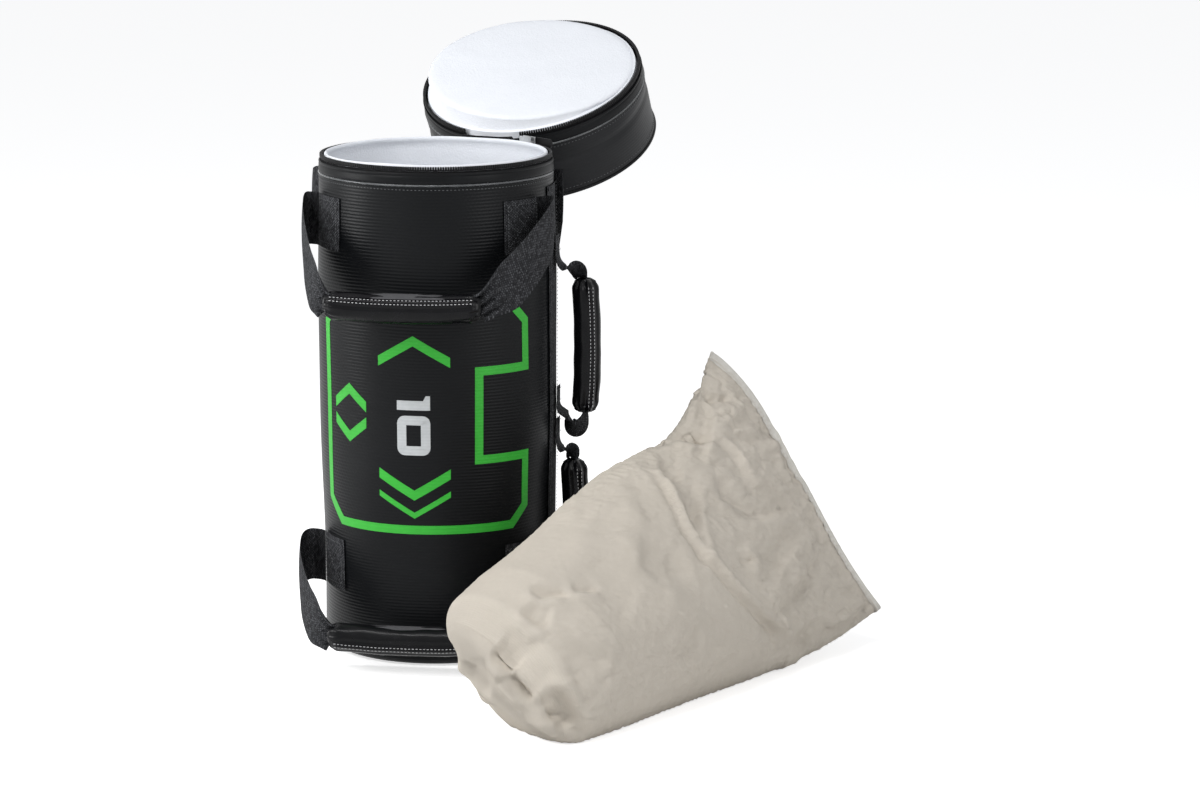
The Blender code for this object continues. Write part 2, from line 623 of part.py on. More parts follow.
def anchor_rings(height):
    """Webbing sewn flat on the wall, then turning out sideways to a stub that faces along X."""
    heights = (height - WEBBING_WIDTH / 2, height + WEBBING_WIDTH / 2)
    half = WEBBING_THICKNESS / 2
    lift = FIT + half
    rings = []
    steps = 5
    for index in range(steps + 1):
        angle = ANCHOR_START + (ANCHOR_END - ANCHOR_START) * index / steps
        out = Vector((math.sin(angle), -math.cos(angle), 0))
        low, high = [out * (shell_radius(z) + lift) + Vector((0, 0, z)) for z in heights]
        rings.append([low - out * half, high - out * half, high + out * half, low + out * half])
    centre_radius = shell_radius(height) + lift
    start = Vector((math.sin(ANCHOR_END), -math.cos(ANCHOR_END), 0)) * centre_radius
    bend = (STUB_REACH - start.x) / math.sin(ANCHOR_END)
    for share in (0.35, 0.7, 1):
        heading = ANCHOR_END * (1 - share)
        out = Vector((math.sin(heading), -math.cos(heading), 0))
        point = Vector((
            start.x + bend * (math.sin(ANCHOR_END) - math.sin(heading)),
            start.y + bend * (math.cos(heading) - math.cos(ANCHOR_END)),
            height,
        ))
        low, high = [
            point + Vector((0, 0, z - height)) + out * ((shell_radius(z) - shell_radius(height)) * (1 - share))
            for z in heights
        ]
        rings.append([low - out * half, high - out * half, high + out * half, low + out * half])
    return rings, point.y


def strap_stations(root, grip_end, leads):
    """Sections of the loose webbing from its root beside the bag to the end of the grip."""
    lead_out, lead_in = leads
    controls = (
        root, root + Vector((lead_out, 0, 0)),
        grip_end + Vector((lead_in, 0, 0)), grip_end,
    )
    steps = 9
    nudge = 0.01
    stations = []
    for index in range(steps + 1):
        share = index / steps
        point = bezier(controls, share)
        heading = (bezier(controls, share + nudge) - bezier(controls, share - nudge)).normalized()
        up = Vector((0, 0, 1))
        across = (up - heading * up.dot(heading) * smooth_step(share / LEVEL_SHARE)).normalized()
        normal = across.cross(heading).normalized()
        gather = smooth_step((share - GATHER_START_SHARE) / (1 - GATHER_START_SHARE))
        width = WEBBING_WIDTH + (GATHERED_WIDTH - WEBBING_WIDTH) * gather
        thickness = WEBBING_THICKNESS + (GATHERED_THICKNESS - WEBBING_THICKNESS) * gather
        stations.append((point, across, normal, width, thickness))
    return stations


def round_ring(centre, first, second, radius, second_radius=None, squareness=1):
    """A ring of points on a circle, or on a rounded slot where squareness is above one."""
    second_radius = radius if second_radius is None else second_radius
    ring = []
    for index in range(GRIP_SIDES):
        angle = math.tau * (index + 0.5) / GRIP_SIDES
        x = min(max(squareness * math.cos(angle), -1), 1)
        y = min(max(squareness * math.sin(angle), -1), 1)
        ring.append(centre + first * (x * radius) + second * (y * second_radius))
    return ring


def build_grip(prefix, centres, first, second, radius, leather, foam):
    """A sewn leather sleeve over a foam core, whose slot lets the webbing through."""
    inner = radius - LEATHER
    ends = (centres[0], centres[-1])
    heading = (ends[1] - ends[0]).normalized()
    roll = radius / 6
    outer_rings = [round_ring(ends[0], first, second, radius - roll)]
    outer_rings += [round_ring(c, first, second, radius) for c in (centres[0] + heading * roll, *centres[1:-1])]
    outer_rings += [round_ring(centres[-1] - heading * roll, first, second, radius)]
    outer_rings += [round_ring(ends[1], first, second, radius - roll)]
    inner_rings = [round_ring(c, first, second, inner - roll / 2) for c in (ends[1],)]
    inner_rings += [round_ring(c, first, second, inner) for c in (centres[-1] - heading * roll, *reversed(centres[1:-1]))]
    inner_rings += [round_ring(centres[0] + heading * roll, first, second, inner)]
    inner_rings += [round_ring(ends[0], first, second, inner - roll / 2)]
    lofted(prefix + "_grip_cover", outer_rings + inner_rings, leather, cyclic=True)
    core_radius = inner - CORE_PLAY
    stops = [centres[0] + heading * (CORE_RECESS + roll), *centres[1:-1], centres[-1] - heading * (CORE_RECESS + roll)]
    slot = (GATHERED_WIDTH / 2 + SLOT_PLAY, GATHERED_THICKNESS / 2 + SLOT_PLAY)
    core = [round_ring(c, first, second, core_radius) for c in stops]
    core += [round_ring(c, first, second, slot[0], slot[1], squareness=1.4) for c in reversed(stops)]
    lofted(prefix + "_grip_core", core, foam, cyclic=True)


def build_wide_handle(prefix, height, grip_height, side_y, leads, webbing, leather, foam):
    """A long handle across the front or back: two anchors, one webbing through a padded grip."""
    rings, pivot_y = anchor_rings(height)
    lofted(prefix + "_anchor_right", mirrored(rings, 1, side_y), webbing)
    lofted(prefix + "_anchor_left", mirrored(rings, -1, side_y), webbing)
    root = Vector((STUB_REACH + STUB_GAP, pivot_y, height))
    right, left = [
        [ribbon_ring(*station) for station in strap_stations(
            root, Vector((GRIP_HALF_LENGTH + side * GRIP_SHIFT, -GRIP_STANDOFF, grip_height)), side_leads,
        )]
        for side, side_leads in ((1, leads[1]), (-1, leads[0]))
    ]
    lofted(prefix + "_webbing", mirrored(right + mirrored(left[::-1], -1, 1), 1, side_y), webbing)
    centres = [
        Vector((GRIP_SHIFT + x, -GRIP_STANDOFF * side_y, grip_height))
        for x in (-GRIP_HALF_LENGTH, 0, GRIP_HALF_LENGTH)
    ]
    build_grip(prefix, centres, Vector((0, 0, 1)), Vector((0, 1, 0)), GRIP_RADIUS, leather, foam)


def side_stations(controls, steps, width_from, width_to, thickness_from, thickness_to):
    """Sections of webbing in the plane Y = 0, whose width lies along Y."""
    nudge = 0.01
    stations = []
    for index in range(steps + 1):
        share = index / steps
        point = bezier(controls, share)
        heading = (bezier(controls, share + nudge) - bezier(controls, share - nudge)).normalized()
        across = Vector((0, 1, 0))
        normal = across.cross(heading)
        blend = smooth_step(share)
        width = width_from + (width_to - width_from) * blend
        thickness = thickness_from + (thickness_to - thickness_from) * blend
        stations.append(ribbon_ring(point, across, normal, width, thickness))
    return stations


def build_side_handle(prefix, span, standoff, root_radius, swell, webbing, leather, foam):
    """An upright handle on the side: two anchors on the side strip, and a padded grip between."""
    grip_low, grip_high = span
    axis_x = shell_radius(grip_high) + SIDE_AXIS_STANDOFF
    root_x = axis_x + root_radius
    grip_x = axis_x + standoff - SIDE_AXIS_STANDOFF
    roots = (grip_high + ROOT_ABOVE_GRIP, grip_low - ROOT_BELOW_GRIP)
    on_strip = 2 * FIT + WEBBING_THICKNESS + FOLDED_THICKNESS / 2
    folded = (FOLDED_WIDTH, FOLDED_WIDTH, FOLDED_THICKNESS, FOLDED_THICKNESS)
    for name, root_z in (("top", roots[0]), ("bottom", roots[1])):
        lift_z = root_z + SIDE_ANCHOR_LIFT
        sewn = []
        for share in (1, 0.5):
            z = lift_z + SIDE_ANCHOR_LENGTH * share
            point = Vector((shell_radius(z) + on_strip, 0, z))
            sewn.append(ribbon_ring(point, Vector((0, 1, 0)), Vector((-1, 0, 0)), FOLDED_WIDTH, FOLDED_THICKNESS))
        start = Vector((shell_radius(lift_z) + on_strip, 0, lift_z))
        end = Vector((root_x, 0, root_z + STUB_GAP))
        controls = (start, start - Vector((0, 0, SIDE_LEAD)), end + Vector((0, 0, SIDE_LEAD)), end)
        lofted(f"{prefix}_anchor_{name}", sewn + side_stations(controls, 5, *folded), webbing)
    top_root = Vector((root_x, 0, roots[0]))
    top_end = Vector((grip_x, 0, grip_high))
    lead = Vector((0, 0, SIDE_LEAD))
    gather = (FOLDED_WIDTH, GATHERED_WIDTH, FOLDED_THICKNESS, GATHERED_THICKNESS)
    upper = side_stations((top_root, top_root - lead, top_end + lead, top_end), 5, *gather)
    low_root = Vector((root_x, 0, roots[1]))
    low_end = Vector((grip_x, 0, grip_low))
    turn = (
        low_end, low_end + Vector((swell, 0, -SIDE_TURN_RISE)),
        low_root - Vector((swell, 0, SIDE_TURN_DEPTH)), low_root,
    )
    spread = (GATHERED_WIDTH, FOLDED_WIDTH, GATHERED_THICKNESS, FOLDED_THICKNESS)
    lower = side_stations(turn, 8, *spread)
    bow_z = (grip_low + grip_high) / 2
    bow = ribbon_ring(
        Vector((grip_x + SIDE_GRIP_BOW, 0, bow_z)), Vector((0, 1, 0)), Vector((-1, 0, 0)),
        GATHERED_WIDTH, GATHERED_THICKNESS,
    )
    lofted(prefix + "_webbing", upper + [bow] + lower, webbing)
    centres = [top_end, Vector((grip_x + SIDE_GRIP_BOW, 0, bow_z)), low_end]
    build_grip(prefix, centres, Vector((0, 1, 0)), Vector((1, 0, 0)), SIDE_GRIP_RADIUS, leather, foam)


def build_side_strip(webbing):
    """The strip of webbing sewn down the side seam, under the side handles."""
    half = WEBBING_WIDTH / 2 / BELLY_RADIUS
    stations = 7
    rings = []
    for index in range(stations + 1):
        z = SIDE_STRIP_BOTTOM + (SIDE_STRIP_TOP - SIDE_STRIP_BOTTOM) * index / stations
        azimuths = [half * share for share in (-1, -0.5, 0, 0.5, 1)]
        inner = [cylindrical(shell_radius(z) + FIT, a, z) for a in azimuths]
        outer = [cylindrical(shell_radius(z) + FIT + WEBBING_THICKNESS, a, z) for a in azimuths]
        rings.append(inner + outer[::-1])
    lofted("side_seam_strip", rings, webbing)


def along_points(points, share):
    """A smooth curve that passes through evenly spaced points, at shares from 0 to 1."""
    spans = len(points) - 1
    place = share * spans
    index = min(max(int(place), 0), spans - 1)
    part = place - index
    near, far = points[index], points[index + 1]
    before = points[index - 1] if index else near * 2 - far
    after = points[index + 2] if index + 2 <= spans else far * 2 - near
    pull_near, pull_far = (far - before) / 2, (after - near) / 2
    square, cube = part**2, part**3
    return (
        near * (2 * cube - 3 * square + 1) + pull_near * (cube - 2 * square + part)
        + far * (3 * square - 2 * cube) + pull_far * (cube - square)
    )


def filler_edges(share):
    return along_points(FILLER_UPPER_EDGE, share), along_points(FILLER_LOWER_EDGE, share)


def table_value(table, share):
    """Reads a table that goes with the filler's stations, with straight steps between them."""
    stations = FILLER_STATION_SHARES
    for index in range(len(stations) - 1):
        if share <= stations[index + 1]:
            part = (share - stations[index]) / (stations[index + 1] - stations[index])
            return table[index] + (table[index + 1] - table[index]) * part
    return table[-1]


def filler_ring(share, inset, sides=None, extra=0):
    """One cross-section of the filler bag, inset from its outer face, flattened on the floor."""
    upper, lower = filler_edges(share)
    nudge = 0.04
    ahead, behind = [sum(filler_edges(share + step), Vector()) for step in (nudge, -nudge)]
    heading = (ahead - behind).normalized()
    across = (upper - lower).normalized()
    normal = heading.cross(across).normalized()
    half_width = (upper - lower).length / 2 * table_value(FILLER_WIDTH_SHARES, share) - inset
    half_thickness = table_value(FILLER_HALF_THICKNESSES, share) - inset - extra
    centre = (upper + lower) / 2
    ring = []
    for index in sides or range(FILLER_SIDES):
        angle = math.tau * index / FILLER_SIDES
        point = centre + across * (half_width * math.cos(angle)) + normal * (half_thickness * math.sin(angle))
        point.z = max(point.z, inset)
        ring.append(point)
    return ring


def build_filler(canvas, sand, binding, fastener):
    inner_shares = (CLOSED_END_SHARE,) + FILLER_STATION_SHARES[1:]
    bag = bmesh.new()
    outer_edge = skin(bag, [filler_ring(share, 0) for share in FILLER_STATION_SHARES], closed_ends=(0,))
    inner_edge = skin(bag, [filler_ring(share, CANVAS) for share in inner_shares], closed_ends=(0,))
    for index in range(FILLER_SIDES):
        after = (index + 1) % FILLER_SIDES
        bag.faces.new((outer_edge[index], outer_edge[after], inner_edge[after], inner_edge[index]))
    make_object("filler_bag", bag, canvas)
    low, high = SAND_SHARES
    filled = [share for share in FILLER_STATION_SHARES if low <= share <= high]
    heap = bmesh.new()
    skin(heap, [filler_ring(share, CANVAS + SAND_PLAY) for share in filled], closed_ends=(0, -1))
    make_object("sand_fill", heap, sand)
    length = (FILLER_UPPER_EDGE[-1] - FILLER_UPPER_EDGE[0]).length
    edge_shares = (1 + FIT / length, 1 + BINDING_WIDTH_SHARE)
    edge = [filler_ring(share, -BINDING_PROUD) for share in edge_shares]
    edge += [filler_ring(share, CANVAS + BINDING_PROUD) for share in reversed(edge_shares)]
    lofted("mouth_binding", edge, binding, cyclic=True)
    half = FILLER_SIDES // 2
    low, high = FASTENER_SIDE_STEPS
    for name, offset in (("hook_strip", 0), ("loop_strip", half)):
        sides = [index + offset for index in range(low, high + 1)]
        rings = []
        for share in FASTENER_SHARES:
            face = filler_ring(share, CANVAS, sides, FASTENER_PLAY)
            back = filler_ring(share, CANVAS, sides, FASTENER_PLAY + FASTENER_THICKNESS)
            rings.append(face + back[::-1])
        lofted(name, rings, fastener)


def build():
    clear_scene()
    vinyl = finish("black_vinyl", (0.016, 0.018, 0.021), 0.45)
    base_vinyl = finish("base_vinyl", (0.013, 0.014, 0.016), 0.55)
    piping = finish("piping_vinyl", (0.03, 0.033, 0.036), 0.35)
    foam = finish("white_foam", (0.82, 0.84, 0.86), 0.8)
    tape = finish("zip_tape", (0.014, 0.014, 0.015), 0.8)
    teeth = finish("zip_plastic", (0.02, 0.02, 0.022), 0.4)
    metal = finish("zip_metal", (0.45, 0.46, 0.47), 0.35, 0.9)
    webbing = finish("webbing", (0.022, 0.023, 0.025), 0.85)
    leather = finish("grip_leather", (0.018, 0.018, 0.022), 0.25)
    core = finish("grip_foam", (0.05, 0.05, 0.055), 0.85)
    canvas = finish("canvas", (0.58, 0.53, 0.46), 0.85)
    sand = finish("sand", (0.45, 0.36, 0.24), 0.95)
    binding = finish("mouth_tape", (0.72, 0.68, 0.6), 0.8)
    fastener = finish("touch_fastener", (0.5, 0.4, 0.24), 0.9)

    build_shell(vinyl, base_vinyl)
    build_lining(foam)
    build_rim(vinyl, piping, tape, teeth)
    build_zip_stops(metal)
    build_hinge_leaf("hinge_leaf_body", vinyl)
    build_lid(vinyl, piping, tape, teeth, foam)
    build_pull(metal, build_slider(metal))
    build_wide_handle("front_top", TOP_HANDLE_HEIGHT, TOP_GRIP_HEIGHT, 1, FRONT_LEADS, webbing, leather, core)
    build_wide_handle("front_bottom", BOTTOM_HANDLE_HEIGHT, BOTTOM_GRIP_HEIGHT, 1, BOTTOM_LEADS, webbing, leather, core)
    build_wide_handle("rear_top", REAR_HANDLE_HEIGHT, REAR_GRIP_HEIGHT, -1, REAR_LEADS, webbing, leather, core)
    build_side_strip(webbing)
    upper = (UPPER_GRIP_SPAN, UPPER_GRIP_STANDOFF, UPPER_ROOT_RADIUS, UPPER_TURN_SWELL)
    lower = (LOWER_GRIP_SPAN, LOWER_GRIP_STANDOFF, LOWER_ROOT_RADIUS, LOWER_TURN_SWELL)
    build_side_handle("side_upper", *upper, webbing, leather, core)
    build_side_handle("side_lower", *lower, webbing, leather, core)
    build_filler(canvas, sand, binding, fastener)


build()
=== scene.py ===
"""The looks of a sandbag trainer: a vinyl carry bag with its lid and five handles, and the canvas bag of
sand that goes inside it. All sizes are in metres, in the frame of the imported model."""
import math

import bmesh
import bpy
from mathutils import Matrix, Vector, kdtree, noise


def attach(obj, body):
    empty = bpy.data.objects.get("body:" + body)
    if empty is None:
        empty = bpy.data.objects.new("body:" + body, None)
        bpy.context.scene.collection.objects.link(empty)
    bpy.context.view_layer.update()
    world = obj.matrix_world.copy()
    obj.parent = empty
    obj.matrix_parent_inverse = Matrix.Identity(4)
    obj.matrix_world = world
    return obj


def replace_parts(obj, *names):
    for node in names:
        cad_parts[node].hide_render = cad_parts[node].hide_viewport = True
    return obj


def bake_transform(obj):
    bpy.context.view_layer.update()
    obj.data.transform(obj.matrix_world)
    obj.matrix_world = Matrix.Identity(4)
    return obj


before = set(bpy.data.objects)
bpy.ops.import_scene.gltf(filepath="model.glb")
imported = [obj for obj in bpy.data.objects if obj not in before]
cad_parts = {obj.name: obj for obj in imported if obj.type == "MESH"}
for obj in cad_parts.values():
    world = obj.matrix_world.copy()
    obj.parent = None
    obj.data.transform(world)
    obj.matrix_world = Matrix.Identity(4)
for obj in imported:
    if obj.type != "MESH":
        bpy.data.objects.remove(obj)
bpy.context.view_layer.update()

scene = bpy.context.scene
scene.view_settings.view_transform = "Standard"

# Camera. It stands in front of the bag and a little to its right, above the rim, and looks slightly
# down through a long lens.
CAMERA_PLACE = Vector((0.6251, -3.5453, 0.9657))
DEGREES_DOWN, DEGREES_LEFT = 11.356, 7.44
LENS, SENSOR = 110.73, 36
PHOTO_WIDTH, PHOTO_HEIGHT = 1200, 798
eye = bpy.data.objects.new("camera", bpy.data.cameras.new("camera"))
eye.location = CAMERA_PLACE
eye.rotation_euler = (math.radians(90 - DEGREES_DOWN), 0, math.radians(DEGREES_LEFT))
eye.data.lens = LENS
eye.data.sensor_width = SENSOR
scene.collection.objects.link(eye)
scene.camera = eye


class Value:
    """A socket in a material, on which sums are written as plain Python."""

    def __init__(self, tree, socket=None):
        self.tree, self.socket = tree, socket

    def add(self, kind, settings=None, inputs=None, output=0):
        """Adds any node: its settings are set first, and then the values or links of its sockets."""
        node = self.tree.nodes.new(kind)
        for name, value in (settings or {}).items():
            if name == "stops":
                ramp = node.color_ramp.elements
                ramp.remove(ramp[1])
                ramp[0].position, ramp[0].color = value[0]
                for place, color in value[1:]:
                    ramp.new(place).color = color
            else:
                setattr(node, name, value)
        self.into(node, inputs or {})
        return Value(self.tree, node.outputs[output])

    def into(self, node, inputs):
        """Sets a node's sockets by name or number, each to a value or to a link."""
        for name, value in inputs.items():
            if isinstance(value, Value):
                self.tree.links.new(value.socket, node.inputs[name])
            else:
                node.inputs[name].default_value = value

    def out(self, name):
        return Value(self.tree, self.socket.node.outputs[name])

    def maths(self, operation, *others):
        return self.add("ShaderNodeMath", {"operation": operation}, dict(enumerate((self, *others))))

    def __add__(self, other):
        return self.maths("ADD", other)

    def __sub__(self, other):
        return self.maths("SUBTRACT", other)

    def __rsub__(self, other):
        return self.add("ShaderNodeMath", {"operation": "SUBTRACT"}, {0: other, 1: self})

    def __mul__(self, other):
        return self.maths("MULTIPLY", other)

    def __truediv__(self, other):
        return self.maths("DIVIDE", other)

    def __gt__(self, other):
        return self.maths("GREATER_THAN", other)

    __radd__ = __add__
    __rmul__ = __mul__

    def mix(self, low, high):
        """A colour between two others, by this factor."""
        return self.add("ShaderNodeMix", {"data_type": "RGBA"}, {"Factor": self, 6: low, 7: high}, output=2)

    def arches(self):
        """A row of arches, one to each unit of this value."""
        return (self * math.pi).maths("SINE").maths("ABSOLUTE")


def seen_directly(nodes):
    """One where a ray comes from the camera or from a mirror or glass, and nought for soft light."""
    path = nodes.add("ShaderNodeLightPath", output="Is Camera Ray")
    mirrored = path.maths("MAXIMUM", path.out("Is Glossy Ray"))
    return mirrored.maths("MAXIMUM", path.out("Is Transmission Ray"))


# Floor and studio. A pale floor, and a white room that is dimmer as a light than it looks. Its lamps are a
# large soft one at the upper left, a small one near the bag's left side, a weaker one at the right, and a
# narrow one overhead for the gloss on the grips.
room = bpy.data.worlds.new("room")
scene.world = room
room.use_nodes = True
nodes = Value(room.node_tree)
nodes.into(room.node_tree.nodes["Background"], {
    "Color": seen_directly(nodes).mix((0.36, 0.365, 0.375, 1), (1, 1, 1, 1)),
})

FLOOR_REACH = 30
bm = bmesh.new()
bmesh.ops.create_grid(bm, x_segments=1, y_segments=1, size=FLOOR_REACH)
floor = bpy.data.objects.new("floor", bpy.data.meshes.new("floor"))
bm.to_mesh(floor.data)
bm.free()
scene.collection.objects.link(floor)
paper = bpy.data.materials.new("pale_paper")
paper.use_nodes = True
floor.data.materials.append(paper)
nodes = Value(paper.node_tree)
surface = paper.node_tree.nodes["Principled BSDF"]
nodes.into(surface, {"Base Color": (0.86, 0.86, 0.86, 1), "Roughness": 1, "Specular IOR Level": 0})
nodes.into(surface, {
    "Emission Color": seen_directly(nodes).mix((0, 0, 0, 1), (0.62, 0.62, 0.62, 1)), "Emission Strength": 1,
})


def lamp(name, place, target, power, width, height):
    light = bpy.data.lights.new(name, "AREA")
    light.shape, light.size, light.size_y, light.energy = "RECTANGLE", width, height, power
    holder = bpy.data.objects.new(name, light)
    holder.location = place
    holder.rotation_euler = (Vector(target) - Vector(place)).to_track_quat("-Z", "Y").to_euler()
    scene.collection.objects.link(holder)


lamp("key_lamp", (-1.9, -2.1, 2.1), (0.05, 0, 0.3), 47, 1.1, 1.3)
lamp("side_lamp", (-0.98, -0.31, 0.52), (0, 0, 0.42), 5, 0.3, 0.4)
lamp("fill_lamp", (2.4, -1.5, 1.2), (0.05, 0, 0.3), 21, 0.8, 1.4)
lamp("top_lamp", (-0.15, -0.9, 2.2), (0.05, -0.1, 0.2), 15, 1.2, 0.09)


# Bag wall: one length of black coated vinyl, embossed with fine ribs, sewn to a tube 234 mm across at
# its belly, with a rounded turn under the base. Its soft dents are about 1 mm deep.
TURN_STEPS = 192
RIM_HEIGHT, BELLY_HEIGHT, WALL_TOP = 0.491, 0.33, 0.4715
BASE_RADIUS, BELLY_RADIUS, RIM_RADIUS = 0.114, 0.117, 0.115
MEASURED_RADIUS = 0.116
BASE_ROUND = 0.010
BASE_CLEARANCE = 0.0003
VINYL = 0.0015


def new_finish(name):
    """A new material, a start for its nodes, and its shader."""
    made = bpy.data.materials.new(name)
    made.use_nodes = True
    return made, Value(made.node_tree), made.node_tree.nodes["Principled BSDF"]


def grain(nodes, scale, detail=2.0, stretch=(1, 1, 1)):
    """Soft noise on the piece itself, from nought to one."""
    place = nodes.add("ShaderNodeTexCoord", output="Object")
    if stretch != (1, 1, 1):
        place = nodes.add("ShaderNodeMapping", inputs={"Vector": place, "Scale": stretch})
    return nodes.add("ShaderNodeTexNoise", inputs={"Vector": place, "Scale": scale, "Detail": detail})


def cellular(nodes, scale, feature="F1", output=0):
    """Small cells on the piece itself."""
    place = nodes.add("ShaderNodeTexCoord", output="Object")
    return nodes.add("ShaderNodeTexVoronoi", {"feature": feature}, {"Vector": place, "Scale": scale}, output)


def raised(nodes, height, depth, strength=1.0):
    return nodes.add("ShaderNodeBump", inputs={"Height": height, "Distance": depth, "Strength": strength})


def laid_measure(nodes):
    """The two measures laid on a piece, in metres: along it or round it, and across or up it."""
    split = nodes.add("ShaderNodeSeparateXYZ", inputs={0: nodes.add("ShaderNodeUVMap", {"uv_map": "UVMap"})})
    return split, split.out("Y")


def ribbed(nodes):
    """The embossing: rows 3.2 mm apart, each broken into short dashes."""
    around, up = laid_measure(nodes)
    row = up / 0.0032 + grain(nodes, 14) * 0.5
    ridge = (row * math.tau).maths("SINE")
    step = row.maths("FLOOR").maths("PINGPONG", 1)
    dash = ((around / 0.0046 + step * 0.5) * math.tau).maths("SINE")
    return (ridge + dash * 0.22).maths("MULTIPLY_ADD", 0.4, 0.5)


def even_finish(name, speckle, dark, light, roughness, depth, gloss=0.5, metallic=0.0):
    """A finish with one kind of speckle in its colour, its roughness and its relief."""
    made, nodes, shader = new_finish(name)
    fine = grain(nodes, *speckle)
    nodes.into(shader, {
        "Base Color": fine.mix((*dark, 1), (*light, 1)),
        "Metallic": metallic,
        "Roughness": fine * roughness[0] + roughness[1],
        "Specular IOR Level": gloss,
        "Normal": raised(nodes, fine, depth),
    })
    return made


def vinyl_finish(name, dark, light, roughness, gloss, rib_share=1.0):
    made, nodes, shader = new_finish(name)
    ribs = ribbed(nodes) * rib_share
    patchy = grain(nodes, 9, 3)
    nodes.into(shader, {
        # The ribs also lighten the crests and darken the grooves in the colour: painted highlight and shade
        # of the embossing.
        "Base Color": (patchy * 0.6 + ribs * 0.3).mix(dark, light),
        "Roughness": patchy * 0.12 + roughness - ribs * 0.05,
        "Specular IOR Level": gloss,
        "Normal": raised(nodes, ribs + grain(nodes, 900) * 0.25, 0.00022),
    })
    return made


vinyl = vinyl_finish("black_vinyl", (0.0020, 0.0023, 0.0027, 1), (0.0050, 0.0058, 0.0070, 1), 0.36, 0.12)


def shell_radius(z):
    if z < BELLY_HEIGHT:
        low, share = BASE_RADIUS, z / BELLY_HEIGHT
    else:
        low, share = RIM_RADIUS, (RIM_HEIGHT - z) / (RIM_HEIGHT - BELLY_HEIGHT)
    return low + (BELLY_RADIUS - low) * (1 - math.cos(math.pi * share)) / 2


def wall_radius(azimuth, z):
    """The wall with its soft dents, which fade out at the base and at the rim."""
    fade = min(max((z - 0.012) / 0.05, 0), 1) * min(max((0.462 - z) / 0.05, 0), 1)
    dents = (
        0.45 * math.sin(3 * azimuth + 0.7 + 9 * z) + 0.35 * math.sin(5 * azimuth - 16 * z + 1.3)
        + 0.3 * math.sin(2 * azimuth + 34 * z + 0.4)
    )
    return shell_radius(z) + 0.001 * dents * fade


def turned(outline, steps=TURN_STEPS):
    """Turns a closed outline of (radius, height) about the bag's axis."""
    bm = bmesh.new()
    verts = [bm.verts.new((radius, 0, z)) for radius, z in outline]
    edges = [bm.edges.new(pair) for pair in zip(verts, verts[1:])]
    if outline[0][0] > 0:
        edges.append(bm.edges.new((verts[-1], verts[0])))
    bmesh.ops.spin(
        bm, geom=verts + edges, cent=(0, 0, 0), axis=(0, 0, 1), angle=math.tau, steps=steps, use_merge=True,
    )
    bmesh.ops.remove_doubles(bm, verts=bm.verts, dist=1e-6)
    bmesh.ops.recalc_face_normals(bm, faces=bm.faces)
    return bm


def lay_measure(bm, place):
    """Writes each corner's two measures, which a function gives from the corner and its face."""
    layer = bm.loops.layers.uv.new("UVMap")
    for face in bm.faces:
        middle = face.calc_center_median()
        for loop in face.loops:
            loop[layer].uv = place(loop.vert.co, middle)


def round_the_axis(co, middle):
    """Round the bag and up it, kept whole where the angle starts again."""
    near = math.atan2(middle.y, middle.x)
    turn = (math.atan2(co.y, co.x) - near + math.pi) % math.tau - math.pi
    return (near + turn) * MEASURED_RADIUS, co.z + Vector((co.x, co.y)).length - MEASURED_RADIUS


def show(name, bm, material, body, slot, smooth_under=40):
    """Makes a piece of a finished mesh, and says which body it rides on, where it has one."""
    mesh = bpy.data.meshes.new(name)
    bm.to_mesh(mesh)
    bm.free()
    mesh.shade_smooth()
    mesh.set_sharp_from_angle(angle=math.radians(smooth_under))
    mesh.materials.append(material)
    item = bpy.data.objects.new(name, mesh)
    scene.collection.objects.link(item)
    if body:
        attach(item, body)
    return item


def wall_outline(inset):
    """The wall's section: an arc under the base, and the wall's rise in even steps."""
    middle, height = shell_radius(BASE_ROUND) - BASE_ROUND, BASE_ROUND + BASE_CLEARANCE
    radius = BASE_ROUND - inset
    turn = [math.radians(angle) for angle in range(-90, 1, 15)]
    outline = [(middle + radius * math.cos(angle), height + radius * math.sin(angle)) for angle in turn]
    steps = 44
    rise = (WALL_TOP - outline[-1][1]) / steps
    heights = [outline[-1][1] + rise * index for index in range(1, steps + 1)]
    return outline + [(shell_radius(z) - inset, z) for z in heights]


bm = turned(wall_outline(0) + wall_outline(VINYL)[::-1])
for vert in bm.verts:
    flat = Vector((vert.co.x, vert.co.y))
    dent = wall_radius(math.atan2(flat.y, flat.x), vert.co.z) - shell_radius(vert.co.z)
    vert.co.xy = flat * (1 + dent / flat.length)
lay_measure(bm, round_the_axis)
wall = show("bag_wall", bm, vinyl, "shell", "black_vinyl")
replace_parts(wall, "shell_wall")

# Print: a green frame with chevrons and a plain number, screen-printed on the wall before it is sewn.
# The ink is 0.15 mm thick here, and the ribs show through it, in its relief and as painted shade in its
# colour.
PRINT_MIDDLE = math.radians(-88.5)
PRINT_LINE = 0.0085
INK, INK_LIFT = 0.00015, 0.00008
PRINT_CUTS = ((0, -0.13, 0.13, 0.004), (1, 0.12, 0.37, 0.012))


def ink_finish(name, dark, light):
    made, nodes, shader = new_finish(name)
    ribs = ribbed(nodes)
    nodes.into(shader, {
        # The ribs also lighten the crests and darken the grooves in the ink's colour: painted highlight and
        # shade of the embossing.
        "Base Color": (grain(nodes, 160, 4) * 0.7 + ribs * 0.2).mix(dark, light),
        "Roughness": grain(nodes, 60) * 0.15 + 0.36,
        "Specular IOR Level": 0.3,
        "Normal": raised(nodes, ribs, 0.00012),
    })
    return made


green = ink_finish("green_ink", (0.026, 0.34, 0.026, 1), (0.04, 0.46, 0.042, 1))
pale = ink_finish("pale_ink", (0.40, 0.42, 0.43, 1), (0.56, 0.58, 0.59, 1))


def polygon(bm, corners):
    return bm.faces.new([bm.verts.new((x, z, 0)) for x, z in corners])


def framed(bm, corners, line):
    """A polygon's outline as a line of even width inside its edge."""
    face = polygon(bm, corners)
    face.normal_update()
    bmesh.ops.inset_region(bm, faces=[face], thickness=line, use_boundary=True, use_even_offset=True)
    bmesh.ops.delete(bm, geom=[face], context="FACES")


